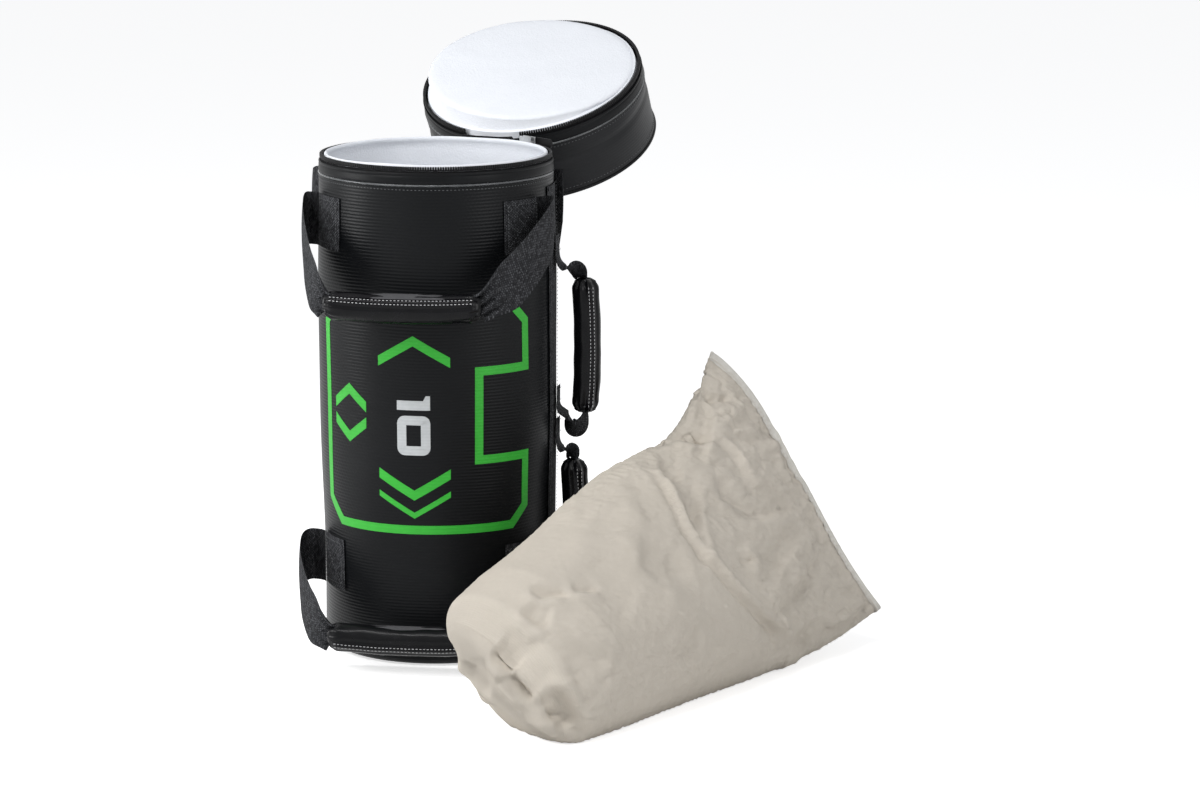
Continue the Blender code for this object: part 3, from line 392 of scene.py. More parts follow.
def chevron(bm, tip, half, rise, line):
    """A V with its tip at a place. A negative rise turns it over."""
    sign = math.copysign(1, rise)
    slant = math.hypot(half, rise) / half * line * sign
    x, z = tip
    polygon(bm, [
        (x, z), (x + half, z + rise), (x + half, z + rise + slant), (x, z + slant),
        (x - half, z + rise + slant), (x - half, z + rise),
    ])


def printed(name, bm, ink):
    """Cuts a flat design into narrow strips, gives it its thickness, and wraps it on the wall."""
    bm.normal_update()
    bmesh.ops.triangulate(bm, faces=bm.faces)
    for axis, low, high, step in PRINT_CUTS:
        for index in range(int((high - low) / step) + 1):
            normal = Vector((axis == 0, axis == 1, 0))
            bmesh.ops.bisect_plane(
                bm, geom=bm.verts[:] + bm.edges[:] + bm.faces[:], plane_co=normal * (low + index * step),
                plane_no=normal, dist=1e-5,
            )
    bmesh.ops.remove_doubles(bm, verts=bm.verts, dist=2e-5)
    grown = bmesh.ops.extrude_face_region(bm, geom=bm.faces[:], use_keep_orig=True)
    for vert in grown["geom"]:
        if isinstance(vert, bmesh.types.BMVert):
            vert.co.z = INK
    bmesh.ops.recalc_face_normals(bm, faces=bm.faces)
    for vert in bm.verts:
        azimuth = PRINT_MIDDLE + vert.co.x / BELLY_RADIUS
        radius = wall_radius(azimuth, vert.co.y) + INK_LIFT + vert.co.z
        vert.co = (radius * math.cos(azimuth), radius * math.sin(azimuth), vert.co.y)
    lay_measure(bm, round_the_axis)
    return show(name, bm, ink, "shell", "black_vinyl")


bm = bmesh.new()
framed(bm, [
    (-0.096, 0.1325), (0.096, 0.1325), (0.116, 0.1525), (0.116, 0.209), (0.062, 0.209), (0.062, 0.288),
    (0.116, 0.288), (0.116, 0.339), (0.096, 0.359), (-0.096, 0.359), (-0.120, 0.335), (-0.120, 0.1565),
], PRINT_LINE)
for tip, half, rise, line in (
    ((-0.007, 0.166), 0.036, 0.021, PRINT_LINE), ((-0.007, 0.148), 0.036, 0.021, PRINT_LINE * 0.6),
    ((-0.007, 0.328), 0.036, -0.021, PRINT_LINE), ((-0.080, 0.218), 0.022, 0.016, PRINT_LINE),
    ((-0.080, 0.276), 0.022, -0.016, PRINT_LINE),
):
    chevron(bm, tip, half, rise, line)
printed("green_print", bm, green)

bm = bmesh.new()
DIGIT_LEFT, DIGIT_RIGHT, DIGIT_LINE, DIGIT_ROUND = -0.0235, 0.0094, 0.0092, 0.0075
zero = polygon(bm, [
    (DIGIT_LEFT, 0.2107), (DIGIT_RIGHT, 0.2107), (DIGIT_RIGHT, 0.2497), (DIGIT_LEFT, 0.2497),
])
bmesh.ops.bevel(
    bm, geom=zero.verts[:], offset=DIGIT_ROUND, segments=5, profile=0.5, affect="VERTICES", material=-1,
    clamp_overlap=True,
)
zero = bm.faces[:]
bmesh.ops.inset_region(bm, faces=zero, thickness=DIGIT_LINE, use_boundary=True, use_even_offset=True)
bmesh.ops.delete(bm, geom=zero, context="FACES")
polygon(bm, [
    (DIGIT_LEFT, 0.2553), (DIGIT_RIGHT, 0.2553), (DIGIT_RIGHT, 0.2695), (0.0052, 0.2695), (0.0026, 0.2646),
    (DIGIT_LEFT, 0.2646),
])
printed("number", bm, pale)

# Base: a round panel of plain matt vinyl under the bag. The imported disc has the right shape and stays.
base_vinyl = vinyl_finish("base_vinyl", (0.0022, 0.0023, 0.0027, 1), (0.0052, 0.0056, 0.0064, 1), 0.5, 0.1)


def refinish(node, material):
    """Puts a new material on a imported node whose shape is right."""
    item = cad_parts[node]
    for place in item.material_slots:
        place.material = material


refinish("base_disc", base_vinyl)

# Foam lining and base pad: white closed-cell foam 5 mm thick up the wall, with a soft upper edge, and an
# 8 mm pad on the base.
foam, nodes, shader = new_finish("white_foam")
cells = cellular(nodes, 620, "SMOOTH_F1")
cloudy = grain(nodes, 22, 4)
nodes.into(shader, {
    "Base Color": (cloudy * 0.7 + cells * 0.4).mix((0.83, 0.852, 0.893, 1), (0.73, 0.753, 0.797, 1)),
    "Roughness": cloudy * 0.1 + 0.7,
    "Specular IOR Level": 0.25,
    "Normal": raised(nodes, cells * 0.6 + grain(nodes, 130, 3), 0.0004),
})


def soft_noise(point, size, depth):
    """How far a soft surface swells at a place: smooth, and the same on every run."""
    return depth * noise.noise(point / size)


FOAM_STEPS = 144
FOAM_TOP = 0.4908
FOAM_OUTSIDE_HEIGHTS = (0.0105, 0.03, 0.09, 0.15, 0.22, 0.29, 0.35, 0.41, 0.455, 0.474)
FOAM_INSIDE_HEIGHTS = (
    0.4855, 0.48, 0.472, 0.46, 0.445, 0.43, 0.41, 0.38, 0.34, 0.29, 0.22, 0.15, 0.09, 0.03, 0.0105,
)
FOAM_OUTSIDE, FOAM_INSIDE = 0.0021, 0.0071


def liner_outline():
    """The lining's section: its outside, which steps in under the band, its soft lip, and its inside."""
    outside = [(shell_radius(z) - FOAM_OUTSIDE, z) for z in FOAM_OUTSIDE_HEIGHTS]
    step = [(0.1121, 0.476), (0.1121, 0.4838), (0.1096, 0.485), (0.1098, FOAM_TOP - 0.0015)]
    lip = [
        (0.1093, FOAM_TOP + 0.0002), (0.1085, FOAM_TOP + 0.0011), (0.1075, FOAM_TOP + 0.0012),
        (0.1065, FOAM_TOP + 0.0005), (0.1060, FOAM_TOP - 0.0008), (0.1062, FOAM_TOP - 0.0022),
        (0.1068, FOAM_TOP - 0.0036),
    ]
    return outside + step + lip + [(shell_radius(z) - FOAM_INSIDE, z) for z in FOAM_INSIDE_HEIGHTS]


bm = turned(liner_outline(), FOAM_STEPS)
for vert in bm.verts:
    flat = Vector((vert.co.x, vert.co.y, 0))
    if flat.length < shell_radius(vert.co.z) - 0.005 and vert.co.z < 0.487:
        depth = 0.0012 + soft_noise(vert.co, 0.045, 0.0018)
        vert.co -= flat.normalized() * (max(depth, 0) * min((0.488 - vert.co.z) / 0.03, 1))
    if vert.co.z > 0.4885:
        vert.co.z += soft_noise(vert.co, 0.06, 0.0012)
bm.normal_update()
lay_measure(bm, round_the_axis)
liner = show("foam_lining", bm, foam, "shell", "white_foam")
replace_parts(liner, "foam_liner")

bm = turned([
    (0, 0.0022), (0.1025, 0.0022), (0.1098, 0.0045), (0.1105, 0.0078), (0.109, 0.0101), (0.095, 0.0108),
    (0.05, 0.0112), (0, 0.0114),
], 96)
lay_measure(bm, lambda co, middle: (co.x, co.y))
pad = show("base_pad", bm, foam, "shell", "white_foam")
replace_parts(pad, "foam_base_pad")

# Rim: a smooth folded band of vinyl 10 mm wide, a thin glossy cord line sewn in under it, whose pale grey is
# a painted highlight, and a row of pale stitches just below that.
smooth_vinyl, nodes, shader = new_finish("smooth_vinyl")
haze = grain(nodes, 40, 4)
nodes.into(shader, {
    "Base Color": haze.mix((0.0022, 0.0025, 0.0029, 1), (0.0058, 0.0064, 0.0074, 1)),
    "Roughness": haze * 0.15 + 0.34,
    "Specular IOR Level": 0.11,
    "Normal": raised(nodes, grain(nodes, 500, 3), 0.0001),
})
# The cord is glossy and dark; its grey colour, far lighter than the black vinyl, is a painted highlight along
# it.
cord_vinyl_painted_highlight = even_finish(
    "cord_vinyl_painted_highlight", (200, 3), (0.03, 0.032, 0.035), (0.09, 0.095, 0.10), (0.15, 0.2), 0.0001,
)
thread = even_finish(
    "thread", (2500, 1), (0.045, 0.047, 0.05), (0.13, 0.135, 0.14), (0.2, 0.5), 0.0001, gloss=0.2,
)
PARTING = 0.4919
CORD_PLACE, CORD_RADIUS = (0.1148, 0.4729), 0.0011
RIM_STITCHES = 0.4688


def band_outline():
    """The band's section: two layers folded over, with a shallow groove under its upper edge."""
    return [
        (0.1134, 0.4743), (0.1148, 0.4741), (0.1153, 0.4748), (0.1154, 0.4765), (0.1152, 0.4795),
        (0.1151, 0.4815), (0.1147, 0.4821), (0.1151, 0.4827), (0.1152, 0.4843), (0.1148, 0.4850),
        (0.1134, 0.4848),
    ]


def across(outline):
    """The lid's copy of a section of the rim, turned over the line where lid and bag meet."""
    return [(radius, 2 * PARTING - z) for radius, z in outline]


def cord_outline(centre, radius, sides=10):
    turn = [math.tau * index / sides for index in range(sides)]
    return [(centre[0] + radius * math.cos(angle), centre[1] + radius * math.sin(angle)) for angle in turn]


def ring(name, outline, material, body, slot, node):
    """A piece turned about the bag's axis, which stands for a packed one. The lid's are swung open."""
    bm = turned(outline)
    lay_measure(bm, round_the_axis)
    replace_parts(show(name, swing(bm) if body == "lid" else bm, material, body, slot), node)


def sew(bm, at, length, pitch=0.0042, long=0.0029, thick=0.0008):
    """Lays stitches along a path, one rounded grain each. The path gives a place and the way out of it."""
    count = max(int(length / pitch), 1)
    for index in range(count):
        (here, up), (there, _) = at((index + 0.3) / count), at((index + 0.7) / count)
        heading = (there - here).normalized()
        side = up.cross(heading).normalized()
        axes = Matrix((heading * (long / 2), side * (thick / 2), heading.cross(side) * (thick / 2)))
        placed = axes.transposed().to_4x4()
        placed.translation = (here + there) / 2
        bmesh.ops.create_icosphere(bm, subdivisions=1, radius=1, matrix=placed)


def on_wall(azimuth, z, lift=0.0001):
    out = Vector((math.cos(azimuth), math.sin(azimuth), 0))
    return out * (wall_radius(azimuth, z) + lift) + Vector((0, 0, z)), out


ring("rim_band", band_outline(), smooth_vinyl, "shell", "black_vinyl", "rim_band_body")
rim_cord = cord_outline(CORD_PLACE, CORD_RADIUS)
ring("rim_cord", rim_cord, cord_vinyl_painted_highlight, "shell", "piping_vinyl", "rim_piping_body")
bm = bmesh.new()
round_the_rim = math.tau * RIM_RADIUS
sew(bm, lambda share: on_wall(share * math.tau, RIM_STITCHES), round_the_rim, pitch=0.0038, long=0.0024)
show("rim_stitches", bm, thread, "shell", "webbing")

# Zip: woven tapes, each with a row of fine moulded teeth on a cord, stopped short of the hinge. The packed
# tapes, stops, slider and pull have the right shape.
tape = even_finish(
    "zip_tape", (700, 2), (0.004, 0.004, 0.0045), (0.016, 0.016, 0.017), (0.1, 0.8), 0.0002, gloss=0.1,
)
moulded = even_finish(
    "zip_plastic", (300, 3), (0.004, 0.004, 0.0045), (0.012, 0.012, 0.013), (0.2, 0.4), 0.0001, gloss=0.15,
)
die_cast = even_finish(
    "zip_metal", (400, 4), (0.36, 0.37, 0.38), (0.55, 0.56, 0.57), (0.25, 0.28), 0.00008, metallic=1.0,
)
for node in ("zip_tape_body", "zip_tape_lid"):
    refinish(node, tape)
ZIP_RADIUS = 0.1127
ZIP_START, ZIP_SWEEP = math.radians(90), math.radians(329.2)
ZIP_CORD_HEIGHT, ZIP_CORD_RADIUS = 0.4874, 0.0008
TEETH, TOOTH_HEIGHT, TOOTH_SIZE, TOOTH_ROUND = 268, 0.4892, (0.0029, 0.0018, 0.0034), 0.0003


def zip_row():
    """The bag's row: a cord along the tape's edge, and a tooth with rounded corners every 2.4 mm."""
    bm = bmesh.new()
    outline = cord_outline((ZIP_RADIUS, ZIP_CORD_HEIGHT), ZIP_CORD_RADIUS, 8)
    section = [bm.verts.new((radius, 0, z)) for radius, z in outline]
    loop = [bm.edges.new(pair) for pair in zip(section, section[1:] + section[:1])]
    bm.faces.new(section)
    swept = bmesh.ops.spin(
        bm, geom=section + loop, cent=(0, 0, 0), axis=(0, 0, 1), angle=ZIP_SWEEP, steps=120, use_merge=False,
    )
    last = [item for item in swept["geom_last"] if isinstance(item, bmesh.types.BMEdge)]
    bmesh.ops.contextual_create(bm, geom=last)
    bmesh.ops.rotate(bm, cent=(0, 0, 0), matrix=Matrix.Rotation(ZIP_START, 3, "Z"), verts=bm.verts)
    tooth = bmesh.new()
    bmesh.ops.create_cube(tooth, size=1, matrix=Matrix.Diagonal((*TOOTH_SIZE, 1)))
    bmesh.ops.bevel(
        tooth, geom=tooth.edges[:], offset=TOOTH_ROUND, segments=1, profile=0.5, affect="EDGES", material=-1,
    )
    kept = bpy.data.meshes.new("tooth")
    tooth.to_mesh(kept)
    tooth.free()
    for index in range(TEETH):
        before = len(bm.verts)
        bm.from_mesh(kept)
        bm.verts.ensure_lookup_table()
        turn = Matrix.Rotation(ZIP_START + ZIP_SWEEP * (index + 0.5) / TEETH, 4, "Z")
        bmesh.ops.transform(
            bm, matrix=turn @ Matrix.Translation((ZIP_RADIUS, 0, TOOTH_HEIGHT)), verts=bm.verts[before:],
        )
    bpy.data.meshes.remove(kept)
    bmesh.ops.recalc_face_normals(bm, faces=bm.faces)
    return bm


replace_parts(show("zip_row", zip_row(), moulded, "shell", "zip_plastic"), "zip_teeth_body")
refinish("zip_slider", die_cast)
for node in ("zip_stop_start", "zip_stop_end", "zip_pull"):
    refinish(node, moulded)

# Patches: the ends of the handle webbing, 50 mm wide, sewn flat on the wall with a box and a cross.
WEBBING = 0.05
WEB_THICK = 0.0019
WEB_LIFT = 0.0003
PATCH_LONG = 0.049
PATCH_START, PATCH_SPAN = 43.5, 24


def woven_finish(name, dark, light, roughness=0.82):
    """Coarse flecked webbing: bricks of yarn 1.9 by 2.6 mm, each with its own shade."""
    made, nodes, shader = new_finish(name)
    along, over = laid_measure(nodes)
    row = along / 0.0019
    brick = over / 0.0026 + row.maths("FLOOR") * 0.5
    yarn = row.arches() * brick.arches()
    cell = nodes.add("ShaderNodeCombineXYZ", inputs={0: row.maths("FLOOR"), 1: brick.maths("FLOOR")})
    fleck = nodes.add("ShaderNodeTexWhiteNoise", inputs={"Vector": cell})
    worn = grain(nodes, 30, 3)
    nodes.into(shader, {
        "Base Color": (fleck * yarn * 1.2 + worn * 0.25).mix(dark, light),
        "Roughness": worn * 0.1 + roughness,
        "Specular IOR Level": 0.12,
        "Normal": raised(nodes, yarn + fleck * 0.3, 0.0005),
    })
    return made


webbing = woven_finish("webbing", (0.005, 0.0053, 0.006, 1), (0.085, 0.087, 0.094, 1))


def ribbon(name, place, long, wide, counts, thick, material, body):
    """A strip of fabric. The place function turns shares along and across it to a point."""
    bm = bmesh.new()
    bmesh.ops.create_grid(bm, x_segments=counts[0], y_segments=counts[1], size=0.5)
    spots = {vert: (vert.co.x + 0.5, vert.co.y + 0.5) for vert in bm.verts}
    layer = bm.loops.layers.uv.new("UVMap")
    for face in bm.faces:
        for loop in face.loops:
            share, side = spots[loop.vert]
            loop[layer].uv = (share * long, side * wide)
    for vert, (share, side) in spots.items():
        vert.co = place(share, side)
    bmesh.ops.solidify(bm, geom=bm.faces[:], thickness=thick)
    bmesh.ops.recalc_face_normals(bm, faces=bm.faces)
    return show(name, bm, material, body, "webbing")


def patch_place(height, side_x, side_y, lift):
    """Where a patch lies: from 43.5 to 67.5 degrees round from the middle of the front or back."""
    def place(share, side):
        angle = math.radians(PATCH_START + PATCH_SPAN * share)
        z = height + (side - 0.5) * WEBBING
        flat = Vector((math.sin(angle) * side_x, -math.cos(angle) * side_y))
        azimuth = math.atan2(flat.y, flat.x)
        radius = wall_radius(azimuth, z) + lift
        return Vector((flat.x * radius, flat.y * radius, z))
    return place


def box_and_cross(bm, place, inset_x=0.09, inset_y=0.09, reach=0.9):
    """Stitches a box and its diagonals on a patch."""
    corners = [(inset_x, inset_y), (reach, inset_y), (reach, 1 - inset_y), (inset_x, 1 - inset_y)]
    runs = list(zip(corners, corners[1:] + corners[:1]))
    runs += [(corners[0], corners[2]), (corners[1], corners[3])]
    for (x0, y0), (x1, y1) in runs:
        def at(share, x0=x0, y0=y0, x1=x1, y1=y1):
            point = place(x0 + (x1 - x0) * share, y0 + (y1 - y0) * share)
            return point, Vector((point.x, point.y, 0)).normalized()
        sew(bm, at, (at(1)[0] - at(0)[0]).length, pitch=0.0034, long=0.0023, thick=0.0007)


HANDLES = (("front_top", 0.430, 1), ("front_bottom", 0.092, 1), ("rear_top", 0.445, -1))
stitches = bmesh.new()
for handle, height, side_y in HANDLES:
    for name, side_x in (("left", -1), ("right", 1)):
        lies = patch_place(height, side_x, side_y, WEB_LIFT + WEB_THICK / 2)
        patch = ribbon(
            f"{handle}_patch_{name}", lies, PATCH_LONG, WEBBING, (14, 12), WEB_THICK, webbing, "shell",
        )
        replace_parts(patch, f"{handle}_anchor_{name}")
        box_and_cross(stitches, patch_place(height, side_x, side_y, 2 * WEB_LIFT + WEB_THICK))
show("patch_stitches", stitches, thread, "shell", "webbing")

# Long handles: the same webbing runs off the side of the bag in a loose loop and is bunched into the end
# of a padded leather grip. Each half is one strip.
STUB_REACH = 0.12
STUB_ANGLE = math.radians(66)
GATHERED = 0.026
PLEATS = 0.0035
STRAP_LONG = 0.155


def smooth_step(share):
    share = min(max(share, 0), 1)
    return share * share * (3 - 2 * share)


def bezier(controls, share):
    a, b, c, d = controls
    rest = 1 - share
    return a * rest**3 + b * (3 * share * rest**2) + c * (3 * share**2 * rest) + d * share**3


def strap_place(height, grip_end, out_lead, in_lead, bend_share=0.16):
    """Where a front right strap lies. It leaves the wall, turns out along X and falls to the grip."""
    centre = shell_radius(height) + 0.0013
    start = Vector((math.sin(STUB_ANGLE), -math.cos(STUB_ANGLE), 0)) * centre
    bend = (STUB_REACH - start.x) / math.sin(STUB_ANGLE)
    root = Vector((STUB_REACH, start.y + bend * (1 - math.cos(STUB_ANGLE)), height))
    controls = (root, root + Vector((out_lead, 0, 0)), grip_end + in_lead, grip_end)
    up = Vector((0, 0, 1))

    def place(share, side):
        offset = side - 0.5
        if share < bend_share:
            angle = STUB_ANGLE * (1 - share / bend_share)
            out = Vector((math.sin(angle), -math.cos(angle), 0))
            point = Vector((
                start.x + bend * (math.sin(STUB_ANGLE) - math.sin(angle)),
                start.y + bend * (math.cos(angle) - math.cos(STUB_ANGLE)), height,
            ))
            return point + up * (offset * WEBBING) + out * 0.0004
        run = (share - bend_share) / (1 - bend_share)
        point = bezier(controls, run)
        heading = (bezier(controls, min(run + 0.01, 1)) - bezier(controls, max(run - 0.01, 0))).normalized()
        level = smooth_step(run / 0.6)
        over = (up - heading * up.dot(heading) * level).normalized()
        out = heading.cross(over).normalized()
        gather = smooth_step((run - 0.7) / 0.27)
        width = WEBBING + (GATHERED - WEBBING) * gather
        fold = PLEATS * gather * math.sin(offset * math.tau * 3 + 1.2)
        fold += 0.0018 * math.sin(run * 5.5) * (offset * 2) ** 2
        return point + over * (offset * width) + out * fold
    return place


# Each handle's grip height, how far its left and right strap lead out, and how each leads in to the grip.
STRAPS = {
    "front_top": (0.362, (0.018, 0.015), ((0.016, 0, 0.012), (0.034, 0, 0.020))),
    "front_bottom": (0.036, (0.034, 0.016), ((0.022, 0, 0.008), (0.036, 0, 0.014))),
    "rear_top": (0.377, (0.044, 0.004), ((0.026, 0, 0.006), (0.030, 0, -0.016))),
}
GRIP_OUT = 0.145
GRIP_ENDS = {"left": 0.081, "right": 0.065}
for handle, height, side_y in HANDLES:
    grip_height, out_leads, in_leads = STRAPS[handle]
    for index, (name, side_x) in enumerate((("left", -1), ("right", 1))):
        grip_end = Vector((GRIP_ENDS[name], -GRIP_OUT, grip_height))
        place = strap_place(height, grip_end, out_leads[index], Vector(in_leads[index]))
        flip = Matrix.Diagonal((side_x, side_y, 1))
        strap = ribbon(
            f"{handle}_strap_{name}", lambda share, side: flip @ place(share, side), STRAP_LONG, WEBBING,
            (80, 32), WEB_THICK, webbing, None,
        )
        towards = Vector((side_x, -side_y, 0)) / math.sqrt(2)
        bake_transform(strap)
        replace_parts(strap, f"{handle}_webbing")

# Grips: a sleeve of glossy synthetic leather round a foam tube, closed along its length by a raised seam
# with a row of stitches on each side, and puckered where the webbing goes in.
leather, nodes, shader = new_finish("grip_leather")
creases = cellular(nodes, 520, "DISTANCE_TO_EDGE")
scuffs = grain(nodes, 70, 4)
nodes.into(shader, {
    "Base Color": scuffs.mix((0.0016, 0.0017, 0.0021, 1), (0.0045, 0.0046, 0.0058, 1)),
    "Roughness": scuffs * 0.2 + 0.15,
    "Specular IOR Level": 0.13,
    "Normal": raised(nodes, creases.maths("MINIMUM", 0.2) * 0.8 + scuffs * 1.2, 0.0001),
})
foam_core = even_finish("grip_foam", (500, 2), (0.03, 0.03, 0.033), (0.07, 0.07, 0.075), (0.1, 0.8), 0.0003)
pale_thread = even_finish(
    "pale_thread", (2500, 1), (0.34, 0.34, 0.35), (0.62, 0.62, 0.63), (0.2, 0.45), 0.0001,
)
SEAM_RIDGE, SEAM_HALF, SEAM_DIP, DIP_OFF, DIP_HALF = 0.0016, 0.0028, 0.0007, 0.0058, 0.0016
PUCKERS, PUCKER_REACH = 0.0009, 0.011
STITCH_OFF = 0.0019


def sleeve(name, low, high, radius, seam, side_of, bow, body, node):
    """A padded sleeve between two points. The seam lies at an angle from side_of, round the sleeve."""
    length = (high - low).length
    heading = (high - low).normalized()
    third = heading.cross(side_of).normalized()
    steps, sides = 72, 72
    outline = [(0, -0.001), (radius * 0.34, -0.0012), (radius * 0.5, -0.0022)]
    for index in range(steps + 1):
        share = index / steps
        near_end = min(share, 1 - share) * length
        swell = 0.965 - 0.24 * math.exp(-(near_end / 0.0042) ** 2) + 0.03 * smooth_step(near_end / 0.03)
        outline.append((radius * swell, share * length))
    outline += [(radius * 0.5, length + 0.0022), (radius * 0.34, length + 0.0012), (0, length + 0.001)]
    bm = turned(outline, sides)

    def stand(co):
        """Places a point of the upright sleeve, with its puckers, its seam ridge and its bow."""
        share = min(max(co.z / length, 0), 1)
        angle = math.atan2(co.y, co.x)
        reach = Vector((co.x, co.y)).length
        near_end = min(share, 1 - share) * length
        from_seam = (angle - seam + math.pi) % math.tau - math.pi
        extra = 0.0
        if reach > radius * 0.6:
            extra += SEAM_RIDGE * math.exp(-(from_seam * radius / SEAM_HALF) ** 2)
            extra -= SEAM_DIP * math.exp(-((abs(from_seam) * radius - DIP_OFF) / DIP_HALF) ** 2)
            pucker = math.exp(-(near_end / PUCKER_REACH) ** 2)
            extra += PUCKERS * pucker * math.sin(angle * 11 + 3 * math.sin(angle * 2 + seam))
            extra += soft_noise(Vector((math.cos(angle), math.sin(angle), co.z / 0.02)), 1.0, 0.0006)
        bowed = bow * (1 - (2 * share - 1) ** 2)
        out = side_of * math.cos(angle) + third * math.sin(angle)
        return low + heading * co.z + out * (reach + extra) + bowed, out

    lay_measure(bm, lambda co, middle: (co.z, math.atan2(co.y, co.x) * radius))
    seams = bmesh.new()
    for turn in (-1, 1):
        angle = seam + turn * STITCH_OFF / radius
        across_sleeve = Vector((math.cos(angle), math.sin(angle), 0)) * radius * 0.995

        def at(share, across_sleeve=across_sleeve):
            place, out = stand(across_sleeve + Vector((0, 0, length * (0.03 + 0.94 * share))))
            return place + out * 0.0001, out
        sew(seams, at, length * 0.94, pitch=0.0036, long=0.0026, thick=0.0008)
    for vert in bm.verts:
        vert.co = stand(vert.co)[0]
    bmesh.ops.recalc_face_normals(bm, faces=bm.faces)
    item = show(name, bm, leather, body, "grip_leather")
    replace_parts(item, node)
    show(name + "_stitches", seams, pale_thread, body, "grip_leather")


LONG_GRIP, SIDE_GRIP = 0.0142, 0.0135
GRIP_LEFT, GRIP_RIGHT = -0.082, 0.066
SEAM_ANGLES = {"front_top": 57, "front_bottom": 112, "rear_top": 57}
for handle, height, side_y in HANDLES:
    grip_left, grip_right = (
        Vector((x, -GRIP_OUT * side_y, STRAPS[handle][0])) for x in (GRIP_LEFT, GRIP_RIGHT)
    )
    sleeve(
        f"{handle}_grip", grip_left, grip_right, LONG_GRIP, math.radians(SEAM_ANGLES[handle]),
        Vector((0, 0, 1)), Vector((0, 0, -0.003)), f"{handle}_handle", f"{handle}_grip_cover",
    )
for handle in ("front_top", "front_bottom", "rear_top", "side_upper", "side_lower"):
    refinish(f"{handle}_grip_core", foam_core)

# Side strip and side handles: a strip of webbing sewn down the side, and two upright handles of webbing
# folded double, each with a small grip.
STRIP_FOOT, STRIP_LONG = 0.016, 0.446


def strip_place(share, side):
    z = STRIP_FOOT + STRIP_LONG * share
    azimuth = (side - 0.5) * WEBBING / BELLY_RADIUS
    radius = wall_radius(azimuth, z) + WEB_LIFT + WEB_THICK / 2
    return Vector((radius * math.cos(azimuth), radius * math.sin(azimuth), z))


strip = ribbon("side_strip", strip_place, STRIP_LONG, WEBBING, (80, 16), WEB_THICK, webbing, "shell")
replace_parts(strip, "side_seam_strip")
stitches = bmesh.new()
for side in (0.07, 0.93):
    def at(share, side=side):
        point = strip_place(share, side)
        out = Vector((point.x, point.y, 0)).normalized()
        return point + out * (WEB_THICK / 2 + 0.0002), out
    sew(stitches, at, STRIP_LONG, pitch=0.0036, long=0.0025, thick=0.0007)
show("side_strip_stitches", stitches, thread, "shell", "webbing")

FOLDED, FOLDED_THICK, IN_GRIP, FOLDED_LONG = 0.025, 0.003, 0.018, 0.075
STRAP_TWIST = 0.95
SEWN_ACROSS = 0.02


def side_strap_place(points):
    """Where a folded strap lies: along a smooth run of points, twisted, and narrower in the grip."""
    def place(share, side):
        point = along_points(points, share)
        ahead = along_points(points, min(share + 0.02, 1))
        heading = (ahead - along_points(points, max(share - 0.02, 0))).normalized()
        out = Vector((0, 1, 0)).cross(heading)
        width = FOLDED + (IN_GRIP - FOLDED) * smooth_step((share - 0.5) / 0.5)
        offset = side - 0.5
        turn = STRAP_TWIST * math.sin(math.pi * max(share - 0.4, 0) / 0.6)
        over = Vector((0, math.cos(turn), 0)) + out * math.sin(turn)
        return point + over * (offset * width) - out * (0.0012 * math.cos(offset * math.pi))
    return place


def along_points(points, share):
    """A smooth curve through evenly spaced points."""
    spans = len(points) - 1
    index = min(max(int(share * spans), 0), spans - 1)
    part = share * spans - index
    near, far = points[index], points[index + 1]
    before = points[index - 1] if index else near * 2 - far
    after = points[index + 2] if index + 2 <= spans else far * 2 - near
    square, cube = part**2, part**3
    return (
        near * (2 * cube - 3 * square + 1) + (far - before) * ((cube - 2 * square + part) / 2)
        + far * (3 * square - 2 * cube) + (after - near) * ((cube - square) / 2)
    )


